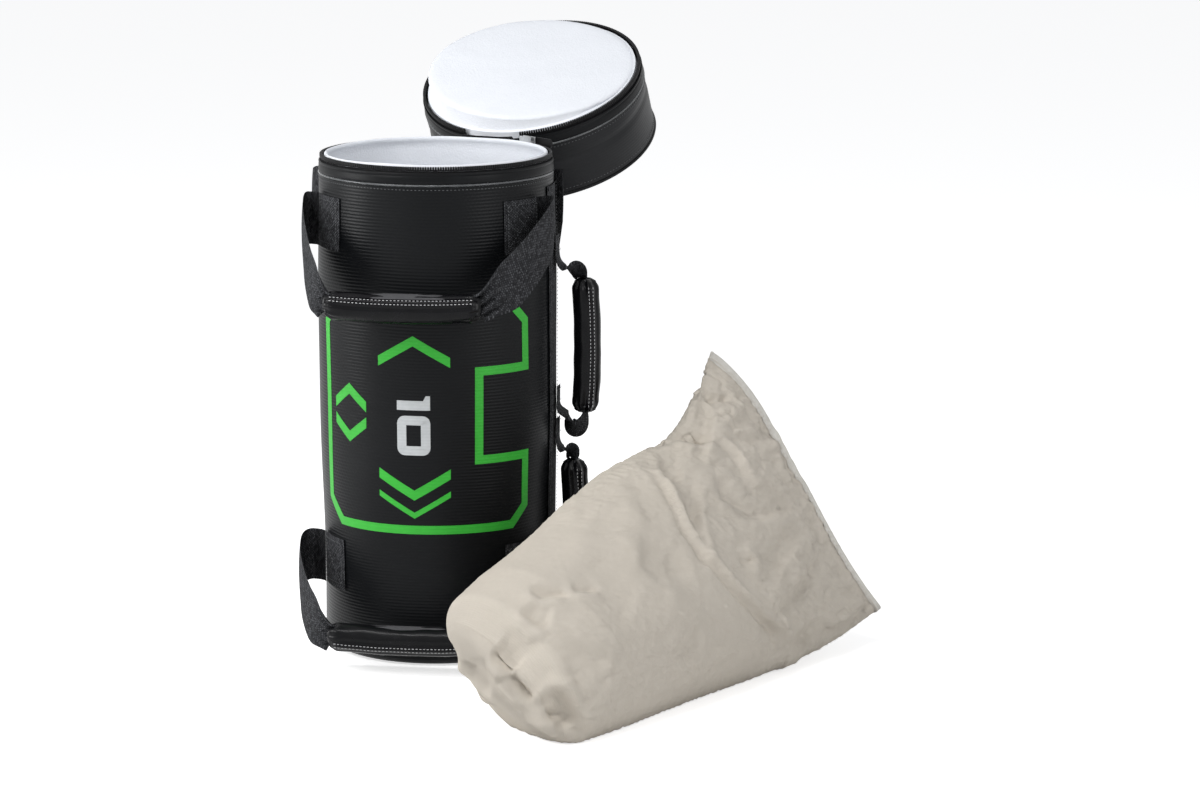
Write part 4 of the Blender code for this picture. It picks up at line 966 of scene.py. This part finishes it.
# Each side handle's grip from end to end, how far the grip and the roots of its straps stand off the side,
# and how much the lower strap swells.
SIDE_HANDLES = (
    ("side_upper", 0.237, 0.366, 0.0305, 0.0105, 0.0),
    ("side_lower", 0.055, 0.184, 0.0200, 0.0085, 0.004),
)
stitches = bmesh.new()
for handle, grip_low, grip_high, standoff, root_radius, swell in SIDE_HANDLES:
    axis_x = shell_radius(grip_high) + 0.004
    grip_x = axis_x + standoff - 0.004
    root_x = axis_x + root_radius
    for name, root_z in (("top", grip_high + 0.012), ("bottom", grip_low - 0.009)):
        lift_z = root_z + 0.014
        on_strip = [
            Vector((shell_radius(lift_z + up) + 0.0041, 0, lift_z + up)) for up in (0.02, 0.013, 0.006, 0)
        ]
        root = Vector((root_x, 0, root_z + 0.0005))
        if name == "top":
            leave, towards = Vector((-0.007, 0, 0.001)), Vector((1, 0, 0))
            turn = (
                root, root - leave, Vector((grip_x, 0, grip_high + 0.013)),
                Vector((grip_x, 0, grip_high - 0.001)),
            )
        else:
            leave, towards = Vector((-0.001, 0, 0.007)), Vector((0.86, 0, -0.51))
            turn = (
                root, Vector((root_x - swell, 0, root_z - 0.014)),
                Vector((grip_x + swell, 0, grip_low - 0.020)), Vector((grip_x, 0, grip_low + 0.001)),
            )
        off_strip = (on_strip[-1], on_strip[-1] - Vector((0, 0, 0.007)), root + leave, root)
        points = on_strip[:-1] + [bezier(off_strip, share / 4) for share in range(5)]
        points += [bezier(turn, share / 8) for share in range(1, 9)]
        strap = ribbon(
            f"{handle}_strap_{name}", side_strap_place(points), FOLDED_LONG, FOLDED, (80, 10), FOLDED_THICK,
            webbing, None,
        )
        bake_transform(strap)
        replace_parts(strap, f"{handle}_anchor_{name}", *[f"{handle}_webbing"] * (name == "top"))
        for height in (lift_z + 0.004, lift_z + 0.016):
            def across_sewn(share, height=height):
                place = Vector((shell_radius(height) + 0.0059, (share - 0.5) * SEWN_ACROSS, height))
                return place, Vector((1, 0, 0))
            sew(stitches, across_sewn, SEWN_ACROSS, pitch=0.0034, long=0.0024, thick=0.0007)
    sleeve(
        f"{handle}_grip", Vector((grip_x, 0, grip_low)), Vector((grip_x, 0, grip_high)), SIDE_GRIP,
        math.radians(-62), Vector((1, 0, 0)), Vector((0.0025, 0, 0)), f"{handle}_handle",
        f"{handle}_grip_cover",
    )
show("side_strap_stitches", stitches, thread, "shell", "webbing")

# Lid: the same vinyl round a stiff end panel, 80 mm high, with its own half of the zip and a thick white
# foam plug. It is made closed and then swung open by 155 degrees on its fabric hinge.
HINGE_AZIMUTH = math.radians(74.5)
HINGE_RADIUS = 0.1205
LID_OPEN = math.radians(155)
hinge_out = Vector((math.cos(HINGE_AZIMUTH), math.sin(HINGE_AZIMUTH), 0))
fold_line = hinge_out * HINGE_RADIUS + Vector((0, 0, PARTING))
fold_turn = Matrix.Rotation(LID_OPEN, 4, Vector((-hinge_out.y, hinge_out.x, 0)))
swung = Matrix.Translation(fold_line) @ fold_turn @ Matrix.Translation(-fold_line)
LID_FOOT, LID_HIGH, LID_END = 0.5123, 0.0566, 0.5728
LID_CORD = 0.0017
LID_STITCHES = (0.5151, 0.5650)


def swing(bm):
    bmesh.ops.transform(bm, matrix=swung, verts=bm.verts)
    return bm


def lid_radius(z):
    return RIM_RADIUS + 0.002 * (z - LID_FOOT) / LID_HIGH


def lid_outline(inset):
    heights = [LID_FOOT + LID_HIGH * index / 20 for index in range(21)]
    return [(lid_radius(z) - inset, z) for z in heights]


bm = turned(lid_outline(0) + lid_outline(VINYL)[::-1])
for vert in bm.verts:
    flat = Vector((vert.co.x, vert.co.y))
    azimuth = math.atan2(flat.y, flat.x)
    middle = math.sin(math.pi * (vert.co.z - LID_FOOT) / LID_HIGH)
    crease = math.exp(-((vert.co.z - 0.529 - 0.003 * math.sin(2 * azimuth)) / 0.0035) ** 2)
    dent = middle * (0.0009 * math.sin(4 * azimuth + 0.6) + 0.0007 * math.sin(7 * azimuth + 60 * vert.co.z))
    vert.co.xy = flat * (1 + (dent - 0.0012 * crease) / flat.length)
lay_measure(bm, round_the_axis)
# The lid's vinyl is the wall's vinyl with fainter ribs and lighter colours: painted light on the lid.
lid_vinyl_painted_lighter = vinyl_finish(
    "lid_vinyl_painted_lighter", (0.0030, 0.0033, 0.0040, 1), (0.0085, 0.0095, 0.0118, 1), 0.38, 0.2, rib_share=0.3,
)
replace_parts(show("lid_side", swing(bm), lid_vinyl_painted_lighter, "lid", "black_vinyl"), "lid_wall")

bm = turned([
    (0, 0.5709), (0.06, 0.5709), (0.112, 0.5709), (0.1146, 0.5711), (0.1149, 0.5722), (0.112, 0.5727),
    (0.09, 0.5731), (0.05, 0.5735), (0, 0.5737),
], 144)
lay_measure(bm, lambda co, middle: (co.x, co.y))
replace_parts(show("lid_end", swing(bm), lid_vinyl_painted_lighter, "lid", "black_vinyl"), "lid_end_disc")
lid_cord = cord_outline((0.1167, LID_END - 0.0018), LID_CORD)
ring("lid_end_cord", lid_cord, smooth_vinyl, "lid", "piping_vinyl", "lid_end_piping")
bm = zip_row()
upturned = Matrix.Translation((0, 0, 2 * PARTING)) @ Matrix.Diagonal((1, 1, -1, 1))
bmesh.ops.transform(bm, matrix=upturned, verts=bm.verts)
bmesh.ops.recalc_face_normals(bm, faces=bm.faces)
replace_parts(show("lid_zip_row", swing(bm), moulded, "lid", "zip_plastic"), "zip_teeth_lid")
ring("lid_band", across(band_outline()), smooth_vinyl, "lid", "black_vinyl", "rim_band_lid")
ring("lid_cord", across(rim_cord), cord_vinyl_painted_highlight, "lid", "piping_vinyl", "rim_piping_lid")
bm = bmesh.new()
for z in LID_STITCHES:
    def at(share, z=z):
        out = Vector((math.cos(share * math.tau), math.sin(share * math.tau), 0))
        return out * (lid_radius(z) + 0.0001) + Vector((0, 0, z)), out
    sew(bm, at, round_the_rim, pitch=0.0038, long=0.0024)
show("lid_stitches", swing(bm), thread, "lid", "webbing")

bm = turned([
    (0, 0.4885), (0.03, 0.4885), (0.06, 0.4885), (0.08, 0.4885), (0.092, 0.4885), (0.099, 0.4886),
    (0.1024, 0.4890), (0.1042, 0.4899), (0.1050, 0.4914), (0.1053, 0.4932), (0.1065, 0.4939),
    (0.1089, 0.4942), (0.1093, 0.4955), (0.1093, 0.5010), (0.1108, 0.5030), (0.1112, 0.52),
    (0.1112, 0.568), (0.108, 0.5702), (0, 0.5702),
], FOAM_STEPS)
PROUD_SIDE = Vector((math.cos(math.radians(138)), math.sin(math.radians(138)), 0))
FACE_TOP, FACE_RADIUS, FACE_CROWN, FACE_SLANT = 0.4930, 0.1068, 0.0035, 0.0215
for vert in bm.verts:
    if vert.co.z < FACE_TOP:
        towards = Vector((vert.co.x, vert.co.y, 0))
        share = (towards.dot(PROUD_SIDE) / FACE_RADIUS + 1) / 2
        lower = min((FACE_TOP - vert.co.z) / 0.0015, 1)
        crown = FACE_CROWN * (1 - (towards.length / FACE_RADIUS) ** 2)
        swell = 0.0050 - FACE_SLANT * share - crown * 0.6
        vert.co.z += lower * swell + soft_noise(vert.co, 0.03, 0.0008) * lower
        vert.co.xy = vert.co.xy * (1 + 0.033 * max(1 - 3 * share, 0) * min(towards.length / 0.09, 1))
lay_measure(bm, lambda co, middle: (co.x, co.y))
plug = show("lid_foam", swing(bm), foam, "lid", "white_foam", smooth_under=60)
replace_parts(plug, "lid_foam_pad")

# Hinge: a flap of vinyl 50 mm wide, sewn to the band of the bag and of the lid, which folds between them.
HINGE_SECTION = (
    (0.1156, 0.4752), (0.1158, 0.4790), (0.1160, 0.4830), (0.1168, 0.4862), (0.1185, 0.4888),
    (0.1202, 0.4908), (0.1207, PARTING),
)
FLAP_THICK = 0.0008
section = [Vector((radius, 0, z)) for radius, z in HINGE_SECTION]
section += [Vector((point.x, 0, 2 * PARTING - point.z)) for point in reversed(section[:-1])]


def hinge_place(share, side):
    point = along_points(section, share)
    azimuth = HINGE_AZIMUTH + (side - 0.5) * WEBBING / 0.1155
    closed = Vector((point.x * math.cos(azimuth), point.x * math.sin(azimuth), point.z))
    return swung @ closed if share > 0.5 else closed


flap = ribbon("hinge_flap", hinge_place, 0.04, WEBBING, (36, 14), FLAP_THICK, tape, None)
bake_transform(flap)
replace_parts(flap, "hinge_leaf_body", "hinge_leaf_lid")

# Filler bag: a sack of undyed cotton canvas, two thirds full of sand, slumped on the floor with its mouth
# standing up. The full end is taut and the empty end is creased.
canvas, nodes, shader = new_finish("canvas")
along, over = laid_measure(nodes)
warp, weft = (along / 0.0009).arches(), (over / 0.0009).arches()
blotch = grain(nodes, 7, 4)
fuzz = grain(nodes, 350, 3)
slack = (along * 3.2 - 0.35).maths("MAXIMUM", 0.12)
crumple = (grain(nodes, 17, 3, (1, 0.6, 1.4)) - 0.5).maths("ABSOLUTE")
# crease darkens the colour along the bottoms of the crumple lines where the cloth is slack: painted shade in
# the creases.
crease = (1 - crumple * 22).maths("MAXIMUM", 0) * slack
nodes.into(shader, {
    "Base Color": (blotch * 0.55 + fuzz * 0.25 + (warp + weft) * 0.1 + crease * 0.25).mix(
        (0.63, 0.58, 0.51, 1), (0.50, 0.455, 0.39, 1)),
    "Roughness": blotch * 0.1 + 0.82,
    "Specular IOR Level": 0.15,
    "Normal": raised(nodes, (warp + weft) * 0.5 + fuzz * 0.6 + crumple * slack * 90, 0.00025),
})
# The sack's upper and lower edge from its closed end to its mouth, and by shares of that length its half
# thickness and the part of its width that is filled.
UPPER_EDGE = [Vector(place) for place in (
    (0.050, -0.300, 0.104), (0.112, -0.226, 0.148), (0.178, -0.130, 0.199), (0.240, -0.040, 0.228),
    (0.268, 0.047, 0.288),
)]
LOWER_EDGE = [Vector(place) for place in (
    (0.184, -0.378, 0.003), (0.268, -0.226, 0.004), (0.336, -0.112, 0.004), (0.394, -0.026, 0.014),
    (0.440, 0.027, 0.037),
)]
STATIONS = (0, 0.03, 0.12, 0.25, 0.4, 0.55, 0.7, 0.85, 0.94, 1)
HALF_THICK = (0.026, 0.056, 0.076, 0.080, 0.075, 0.062, 0.046, 0.028, 0.016, 0.009)
WIDTHS = (0.78, 0.96, 1, 1, 1, 1, 1, 1, 1, 1)


def read_table(table, share):
    for index in range(len(STATIONS) - 1):
        if share <= STATIONS[index + 1]:
            part = (share - STATIONS[index]) / (STATIONS[index + 1] - STATIONS[index])
            return table[index] + (table[index + 1] - table[index]) * part
    return table[-1]


CAP = 0.08


def sack_place(share, turn, bowed=True):
    """A point of the skin by its share of the length, below nought on the closed end, and its turn round."""
    reach, bulge = 1.0, 0.0
    if share < 0:
        lean = math.pi / 2 * (1 + share / CAP)
        reach, bulge = math.sin(lean), 0.012 * math.cos(lean)
        share = 0
    upper, lower = along_points(UPPER_EDGE, share), along_points(LOWER_EDGE, share)
    ahead = along_points(UPPER_EDGE, share + 0.04) + along_points(LOWER_EDGE, share + 0.04)
    behind = along_points(UPPER_EDGE, share - 0.04) + along_points(LOWER_EDGE, share - 0.04)
    heading = (ahead - behind).normalized()
    over_sack = (upper - lower).normalized()
    normal = heading.cross(over_sack).normalized()
    half_width = (upper - lower).length / 2 * read_table(WIDTHS, share)
    half_thick = read_table(HALF_THICK, share)
    if bowed and share > 0.6:
        across_mouth = math.cos(turn)
        bulge -= smooth_step((share - 0.6) / 0.4) * (1 - across_mouth**2) * (0.002 + 0.022 * across_mouth)
    point = (upper + lower) / 2 - heading * bulge
    point += (over_sack * (half_width * math.cos(turn)) + normal * (half_thick * math.sin(turn))) * reach
    point.z = max(point.z, 0.0005)
    return point


# Folds. Each has a height in steps, below nought for a valley, and a half width in millimetres. A step is
# 1.4 mm where the sack is full and 2 mm where it is slack. The folds that the photograph shows also have the
# points of their run as pixels, picked on a close-up of the sack. The others have them as shares of
# the sack's length and degrees round it.
FULL_STEP, SLACK_STEP, SLACK_FROM = 0.0014, 0.0020, 0.45
CLOSE_UP_LEFT, CLOSE_UP_TOP, CLOSE_UP_SCALE = 430, 339, 3.333
SEEN_FOLDS = {
    "long ridge": (3.4, 3,
        (717, 370), (760, 450), (800, 520), (850, 620), (920, 720), (1000, 810),
        (1050, 860), (1120, 920), (1180, 970), (1240, 1030),
    ),
    "valley by the long ridge": (-3.0, 10, (760, 400), (830, 490), (860, 560), (900, 640)),
    "middle crease": (2.5, 4, (905, 440), (905, 540), (912, 640), (930, 700), (925, 800)),
    "upper crease": (2.5, 4, (940, 230), (935, 330), (908, 430)),
    "upper dent": (-3.0, 12, (770, 440), (850, 460)),
    "shoulder fold": (-3.0, 6, (726, 364), (800, 340), (850, 330), (960, 345)),
    "second shoulder fold": (-3.0, 5, (805, 320), (860, 345), (930, 335)),
    "star, rising arm": (2.0, 4, (940, 320), (1010, 260), (1040, 230)),
    "star, falling arm": (2.0, 4, (940, 320), (1010, 380), (1060, 460)),
    "star, level arm": (2.0, 4, (940, 320), (1020, 325), (1120, 335)),
    "cross fold": (-3.0, 6, (1000, 585), (1080, 585), (1160, 570), (1240, 545)),
    "slanting ridge": (3.0, 6, (1280, 620), (1220, 700), (1150, 790), (1120, 870)),
    "slanting valley": (-2.5, 6, (1320, 700), (1260, 780), (1200, 850)),
    "low ridge": (2.5, 5, (1060, 860), (1150, 870), (1220, 800), (1260, 755)),
    "pinch": (-3.0, 8, (1205, 1030), (1265, 1020)),
    "valley by the pinch": (-3.0, 6, (1170, 1050), (1150, 960), (1080, 890)),
    "flap edge": (3.0, 4, (1290, 910), (1340, 945), (1400, 915), (1440, 870), (1445, 840)),
    "ridge to the corner": (2.0, 5, (1220, 980), (1290, 910)),
    "first wave": (-5.0, 4, (330, 825), (370, 850), (420, 845), (470, 855)),
    "end of the first wave": (-4.0, 4, (470, 830), (520, 830), (570, 825)),
    "second wave": (-6.0, 5, (300, 900), (350, 940), (400, 955)),
    "ridge of the second wave": (3.5, 7,
        (290, 965), (330, 940), (400, 960), (470, 1010), (540, 1040), (610, 1075),
    ),
    "short ridge of the second wave": (3.0, 6, (440, 950), (500, 990), (560, 1010), (640, 1075)),
    "third wave": (-6.5, 5, (430, 1105), (480, 1130), (510, 1180), (530, 1260)),
    "ridge of the third wave": (4.0, 9, (400, 1110), (460, 1160), (490, 1220), (530, 1320)),
    "closing ridge": (5.0, 7, (470, 1355), (450, 1280), (400, 1200)),
    "closing valley": (-5.0, 6, (500, 1340), (480, 1270), (460, 1200), (440, 1150)),
    "soft dip": (-5.0, 22, (680, 740), (760, 780), (880, 770)),
    "soft ridge": (4.0, 18, (560, 640), (650, 680), (720, 800), (800, 850), (880, 850)),
    "soft upper dip": (-3.0, 16, (470, 600), (560, 600), (700, 520)),
    "soft upper ridge": (3.0, 14, (500, 640), (600, 570), (720, 560)),
    "low valley": (-2.5, 7, (850, 1110), (880, 1000), (885, 940)),
    "ridge by the low valley": (2.0, 6, (780, 1060), (850, 980), (880, 940)),
    "mouth crease": (-2.0, 6, (1150, 330), (1180, 420), (1230, 500)),
    "tip ridge": (2.5, 6, (920, 190), (950, 190), (960, 215)),
    "tip dent": (-3.5, 6, (915, 215), (950, 205), (1000, 215)),
    "inner crease": (-2.5, 7, (960, 440), (980, 520), (1060, 560)),
    "inner ridge": (2.0, 6, (1000, 400), (1080, 480), (1150, 500), (1220, 540)),
    "short crease": (-2.5, 6, (1060, 330), (1110, 330), (1160, 350)),
    "short ridge": (2.5, 6, (1040, 690), (1080, 740), (1060, 790)),
    "floor crease": (-2.5, 6, (590, 1100), (640, 1120), (690, 1190)),
    "floor ridge": (2.5, 6, (560, 1080), (620, 1100), (680, 1150), (700, 1220)),
}
PLACED_FOLDS = (
    (-3.2, 14, ((0.885, 350), (0.89, 10))),
    (-9.0, 5, ((-0.03, 70), (-0.025, 86), (-0.03, 98))),
    (-9.0, 5, ((-0.045, 94), (-0.04, 117), (-0.03, 136))),
    (4.0, 8, ((-0.02, 95), (-0.018, 115), (-0.012, 137))),
    (-9.0, 5, ((-0.017, 144), (0.006, 153), (0.012, 175))),
    (4.5, 6, ((-0.04, 205), (-0.036, 178), (-0.012, 158))),
    (4.0, 6, ((0.62, 345), (0.56, 322), (0.5, 300), (0.44, 282), (0.36, 268))),
    (-4.0, 9, ((0.66, 340), (0.6, 318), (0.55, 298))),
    (3.0, 5, ((0.86, 330), (0.76, 312), (0.66, 296), (0.6, 276))),
    (-3.0, 7, ((0.9, 318), (0.8, 300), (0.7, 286))),
    (3.0, 5, ((0.95, 290), (0.82, 280), (0.7, 262), (0.62, 240))),
    (-3.5, 8, ((0.88, 262), (0.74, 250), (0.64, 232))),
    (3.0, 6, ((0.9, 236), (0.78, 232), (0.66, 220), (0.56, 214))),
    (-4.0, 10, ((0.3, 320), (0.24, 300), (0.2, 280))),
    (4.0, 12, ((0.22, 330), (0.16, 306), (0.13, 280))),
    (-5.0, 8, ((0.04, 330), (0.05, 300), (0.03, 276))),
    (4.0, 8, ((0.0, 320), (-0.01, 290), (0.01, 262))),
    (-6.0, 9, ((-0.05, 340), (-0.04, 300), (-0.045, 265))),
)


def near_side():
    """The sack's near side, before its mouth is bowed: a tree of its pixels, and the place at each."""
    to_eye = (Matrix.Translation(CAMERA_PLACE) @ eye.rotation_euler.to_matrix().to_4x4()).inverted()
    focal = LENS * PHOTO_WIDTH / SENSOR
    rings, sides = 240, 360
    grid = [
        [sack_place(-CAP + (1 + CAP) * ring / rings, math.tau * side / sides, False) for side in range(sides)]
        for ring in range(rings + 1)
    ]
    tree, places = kdtree.KDTree(rings * sides), []
    for ring in range(1, rings):
        for side in range(sides):
            point = grid[ring][side]
            along = grid[ring + 1][side] - grid[ring - 1][side]
            over = grid[ring][(side + 1) % sides] - grid[ring][side - 1]
            if along.cross(over).dot(CAMERA_PLACE - point) < 0:
                seen = to_eye @ point
                x = PHOTO_WIDTH / 2 - focal * seen.x / seen.z
                y = PHOTO_HEIGHT / 2 + focal * seen.y / seen.z
                tree.insert((x, y, 0), len(places))
                places.append((round(-CAP + (1 + CAP) * ring / rings, 3), side * 360 // sides))
    tree.balance()
    return tree, places


def fold_runs():
    """Every fold's height, half width and run of places."""
    tree, places = near_side()
    for height, width, *picks in SEEN_FOLDS.values():
        run = []
        for x, y in picks:
            pixel = (CLOSE_UP_LEFT + x / CLOSE_UP_SCALE, CLOSE_UP_TOP + y / CLOSE_UP_SCALE, 0)
            run.append(places[tree.find(pixel)[1]])
        yield height, width, run
    yield from PLACED_FOLDS


def nearest_part(point, normal, run):
    """How far a point lies from a run of points, on which side, and how far along the run that is."""
    best, where, side = 1.0, 0.0, 1.0
    for index, (start, end) in enumerate(zip(run, run[1:])):
        step = end - start
        part = min(max((point - start).dot(step) / step.length_squared, 0), 1)
        away = point - start - step * part
        if away.length < best:
            best, where = away.length, (index + part) / (len(run) - 1)
            side = math.copysign(1, step.cross(away).dot(normal))
    return best, side, where


SETTLING_FRAMES = 22
SETTLING_MOST = 0.010


def settled(bm, held):
    """Lets the cloth, cut a little too large for its shape, settle into its own small creases."""
    mesh = bpy.data.meshes.new("settling")
    bm.to_mesh(mesh)
    item = bpy.data.objects.new("settling", mesh)
    scene.collection.objects.link(item)
    group = item.vertex_groups.new(name="held")
    for index, weight in enumerate(held):
        group.add([index], weight, "REPLACE")
    cloth = item.modifiers.new("cloth", "CLOTH")
    cloth.settings.quality = 6
    cloth.settings.mass = 0.25
    cloth.settings.tension_stiffness = cloth.settings.compression_stiffness = 20
    cloth.settings.shear_stiffness = 8
    cloth.settings.bending_stiffness = 2.5
    cloth.settings.shrink_min = -0.06
    cloth.settings.use_pressure = True
    cloth.settings.uniform_pressure_force = 0.6
    cloth.settings.vertex_group_mass = "held"
    cloth.settings.pin_stiffness = 1
    cloth.settings.effector_weights.gravity = 0
    cloth.collision_settings.use_collision = False
    cloth.point_cache.frame_end = SETTLING_FRAMES
    for step in range(1, SETTLING_FRAMES + 1):
        scene.frame_set(step)
    formed = item.evaluated_get(bpy.context.evaluated_depsgraph_get()).data
    for vert in bm.verts:
        move = formed.vertices[vert.index].co - vert.co
        vert.co += move * min(1, SETTLING_MOST / max(move.length, 1e-9))
    bpy.data.objects.remove(item)
    bpy.data.meshes.remove(mesh)
    scene.frame_set(1)


def hold(share):
    """How firmly the cloth is held: wholly at both ends, and more loosely along its empty part."""
    if share < 0.11 or share > 0.998:
        return 1
    return 0.94 - 0.2 * smooth_step((share - 0.11) / 0.15) - 0.4 * smooth_step((share - 0.28) / 0.4)


def fold_push(vert):
    """How far the folds push a point. Each is gentle on one side, and steep with a dip on the other."""
    push = 0.0
    for height, width, run, middle, reach in runs:
        if (vert.co - middle).length < reach + width * FOLD_REACH:
            gap, side, where = nearest_part(vert.co, vert.normal, run)
            if gap < width * FOLD_REACH:
                fade = smooth_step(min(where, 1 - where) / 0.3 + 0.1)
                form = math.exp(-(gap / (width * (2.6 if side > 0 else 0.9))) ** 1.15)
                if side < 0:
                    form -= 0.55 * math.exp(-((gap - width * 2.2) / (width * 1.3)) ** 2)
                push += height * fade * form
    return push


ROWS, ROUND = 190, 228
SACK_LONG, SACK_ROUND = 0.46, 0.1
FOLD_REACH = 7
bm = bmesh.new()
bmesh.ops.create_grid(bm, x_segments=ROWS, y_segments=ROUND, size=0.5)
spots = {vert: (vert.co.x + 0.5, (vert.co.y + 0.5) * math.tau) for vert in bm.verts}
layer = bm.loops.layers.uv.new("UVMap")
for face in bm.faces:
    for loop in face.loops:
        share, turn = spots[loop.vert]
        loop[layer].uv = (share * SACK_LONG, turn * SACK_ROUND)
runs = []
for height, width, run in fold_runs():
    step = FULL_STEP if run[0][0] < SLACK_FROM else SLACK_STEP
    run = [sack_place(share, math.radians(turn)) for share, turn in run]
    middle = sum(run, Vector()) / len(run)
    reach = max((point - middle).length for point in run)
    runs.append((height * step, width / 1000, run, middle, reach))
for vert, (share, turn) in spots.items():
    vert.co = sack_place(share * (1 + CAP) - CAP, turn)
bmesh.ops.remove_doubles(bm, verts=bm.verts, dist=1e-5)
bmesh.ops.recalc_face_normals(bm, faces=bm.faces)
bm.normal_update()
pushes = [fold_push(vert) for vert in bm.verts]
bm.verts.index_update()
settled(bm, [hold(spots[vert][0] if vert in spots else 0) for vert in bm.verts])
bm.normal_update()
for vert, move in [(vert, vert.normal * push) for vert, push in zip(bm.verts, pushes)]:
    vert.co += move
    vert.co.z = max(vert.co.z, 0.0008)
bm.normal_update()


def skin_point(share, turn, lift):
    """A point on or off the finished skin, found from the rows of its grid."""
    place, around = share * ROWS, turn / math.tau * ROUND % ROUND
    row, column = min(int(place), ROWS - 1), int(around)
    total = Vector()
    for down, part in ((row, row + 1 - place), (row + 1, place - row)):
        for beside, piece in ((column, column + 1 - around), (column + 1, around - column)):
            co, normal = skin[down][beside % ROUND]
            total += (co + normal * lift) * (part * piece)
    return total


rows = {}
for vert, (share, turn) in spots.items():
    if vert.is_valid:
        place = round(share * ROWS), round(turn / math.tau * ROUND) % ROUND
        rows[place] = (vert.co.copy(), vert.normal.copy())
tip = rows.get((0, 0)) or next(value for (row, column), value in rows.items() if row == 0)
skin = [[rows.get((row, column), tip) for column in range(ROUND)] for row in range(ROWS + 1)]
sack = show("filler_sack", bm, canvas, "filler", "canvas", smooth_under=80)
thickness = sack.modifiers.new("canvas", "SOLIDIFY")
thickness.thickness, thickness.offset, thickness.use_even_offset = 0.0011, -1, False
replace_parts(sack, "filler_bag")

# Mouth: a folded tape sewn over the raw edge, and inside it the two halves of a touch fastener, one with
# hooks and one with loops.
edging, nodes, shader = new_finish("mouth_tape")
rib = (laid_measure(nodes)[0] / 0.0012).arches()
fuzz = grain(nodes, 260, 4)
nodes.into(shader, {
    "Base Color": (fuzz * 0.8 + rib * 0.2).mix((0.74, 0.73, 0.70, 1), (0.50, 0.47, 0.41, 1)),
    "Roughness": fuzz * 0.1 + 0.8,
    "Specular IOR Level": 0.15,
    "Normal": raised(nodes, rib * 0.5 + fuzz, 0.0003),
})
pile, nodes, shader = new_finish("touch_fastener")
hooks = cellular(nodes, 900)
fuzz = grain(nodes, 120, 4)
nodes.into(shader, {
    "Base Color": (fuzz * 0.7 + hooks * 0.4).mix((0.60, 0.46, 0.22, 1), (0.30, 0.20, 0.08, 1)),
    "Roughness": fuzz * 0.1 + 0.85,
    "Specular IOR Level": 0.1,
    "Normal": raised(nodes, hooks, 0.0006),
})


EDGE_ROUND, EDGE_LONG = math.tau * 0.9999, 0.62
TAPE_WIDE, TAPE_THICK = 0.03, 0.0007
TAPE_TOP, FLAT_SHARE = 1.0005, 0.42
OUTSIDE, INSIDE = 0.0008, -0.0020


def edging_place(share, side):
    """Where the tape lies: up the outside of the mouth, over its edge and down the inside."""
    turn = share * EDGE_ROUND
    depth = 0.977 + 0.0008 * math.sin(share * 71) + 0.0006 * math.sin(share * 29 + 1)
    if side < FLAT_SHARE:
        return skin_point(depth + (TAPE_TOP - depth) * side / FLAT_SHARE, turn, OUTSIDE)
    if side > 1 - FLAT_SHARE:
        return skin_point(TAPE_TOP - (TAPE_TOP - depth) * (side - 1 + FLAT_SHARE) / FLAT_SHARE, turn, INSIDE)
    edge, behind = skin_point(1, turn, -0.0006), skin_point(0.98, turn, -0.0006)
    heading = (edge - behind).normalized()
    lift = 0.0014 * math.cos((side - 0.5) / 0.08 * math.pi / 2)
    over_edge = (side - FLAT_SHARE) / (1 - 2 * FLAT_SHARE)
    return skin_point(TAPE_TOP, turn, OUTSIDE + (INSIDE - OUTSIDE) * over_edge) + heading * lift


edge = ribbon(
    "mouth_edging", edging_place, EDGE_LONG, TAPE_WIDE, (240, 16), TAPE_THICK, edging, "filler",
)
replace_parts(edge, "mouth_binding")
stitches = bmesh.new()


def on_edging(share):
    place = skin_point(0.981, share * EDGE_ROUND, 0.0014)
    return place, (place - skin_point(0.981, share * EDGE_ROUND, 0)).normalized()


sew(stitches, on_edging, EDGE_LONG, pitch=0.0036, long=0.0025, thick=0.0007)
show("mouth_stitches", stitches, canvas, "filler", "canvas")
for name, low, high in (("hook", 36, 144), ("loop", 216, 324)):
    def strip_inside(share, side, low=low, high=high):
        return skin_point(0.90 + 0.055 * side, math.radians(low + (high - low) * share), -0.0024)
    strip = ribbon(f"{name}_strip_inside", strip_inside, 0.26, 0.025, (90, 8), 0.0014, pile, "filler")
    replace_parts(strip, f"{name}_strip")

# Sand: ten kilograms of dry sand, which fills the lower two thirds of the sack and lies loose at the top.
grains, nodes, shader = new_finish("sand")
speck = cellular(nodes, 1400, output="Color")
damp = grain(nodes, 30, 4)
nodes.into(shader, {
    "Base Color": (damp * 0.6 + speck * 0.4).mix((0.46, 0.36, 0.24, 1), (0.24, 0.18, 0.11, 1)),
    "Roughness": damp * 0.1 + 0.85,
    "Specular IOR Level": 0.2,
    "Normal": raised(nodes, speck + damp, 0.0008),
})


SAND_SIDES = 0.86


def sand_place(share, turn):
    """The sand's skin, 17 mm inside the sack's, and its top, which dips towards the middle."""
    place = 0.02 + 0.53 * min(share / SAND_SIDES, 1)
    middle = (sack_place(place, 0) + sack_place(place, math.pi)) / 2
    skin_at = sack_place(place, turn)
    out = skin_at - middle
    inside = 0.017 + 0.012 * smooth_step(1 - place / 0.15)
    shrink = max(out.length - inside, 0) / max(out.length, 1e-6)
    close = 1 - max(share - SAND_SIDES, 0) / (1 - SAND_SIDES)
    point = middle + out * (shrink * close)
    rough = Vector((1, 1, 1)) * soft_noise(point, 0.02, 0.002)
    return Vector((point.x, point.y, max(point.z, 0.003))) + rough


bm = bmesh.new()
bmesh.ops.create_grid(bm, x_segments=70, y_segments=72, size=0.5)
for vert in bm.verts:
    vert.co = sand_place(vert.co.x + 0.5, (vert.co.y + 0.5) * math.tau)
bmesh.ops.remove_doubles(bm, verts=bm.verts, dist=1e-4)
bmesh.ops.holes_fill(bm, edges=[edge for edge in bm.edges if edge.is_boundary], sides=200)
bmesh.ops.recalc_face_normals(bm, faces=bm.faces)
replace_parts(show("sand", bm, grains, "filler", "sand"), "sand_fill")
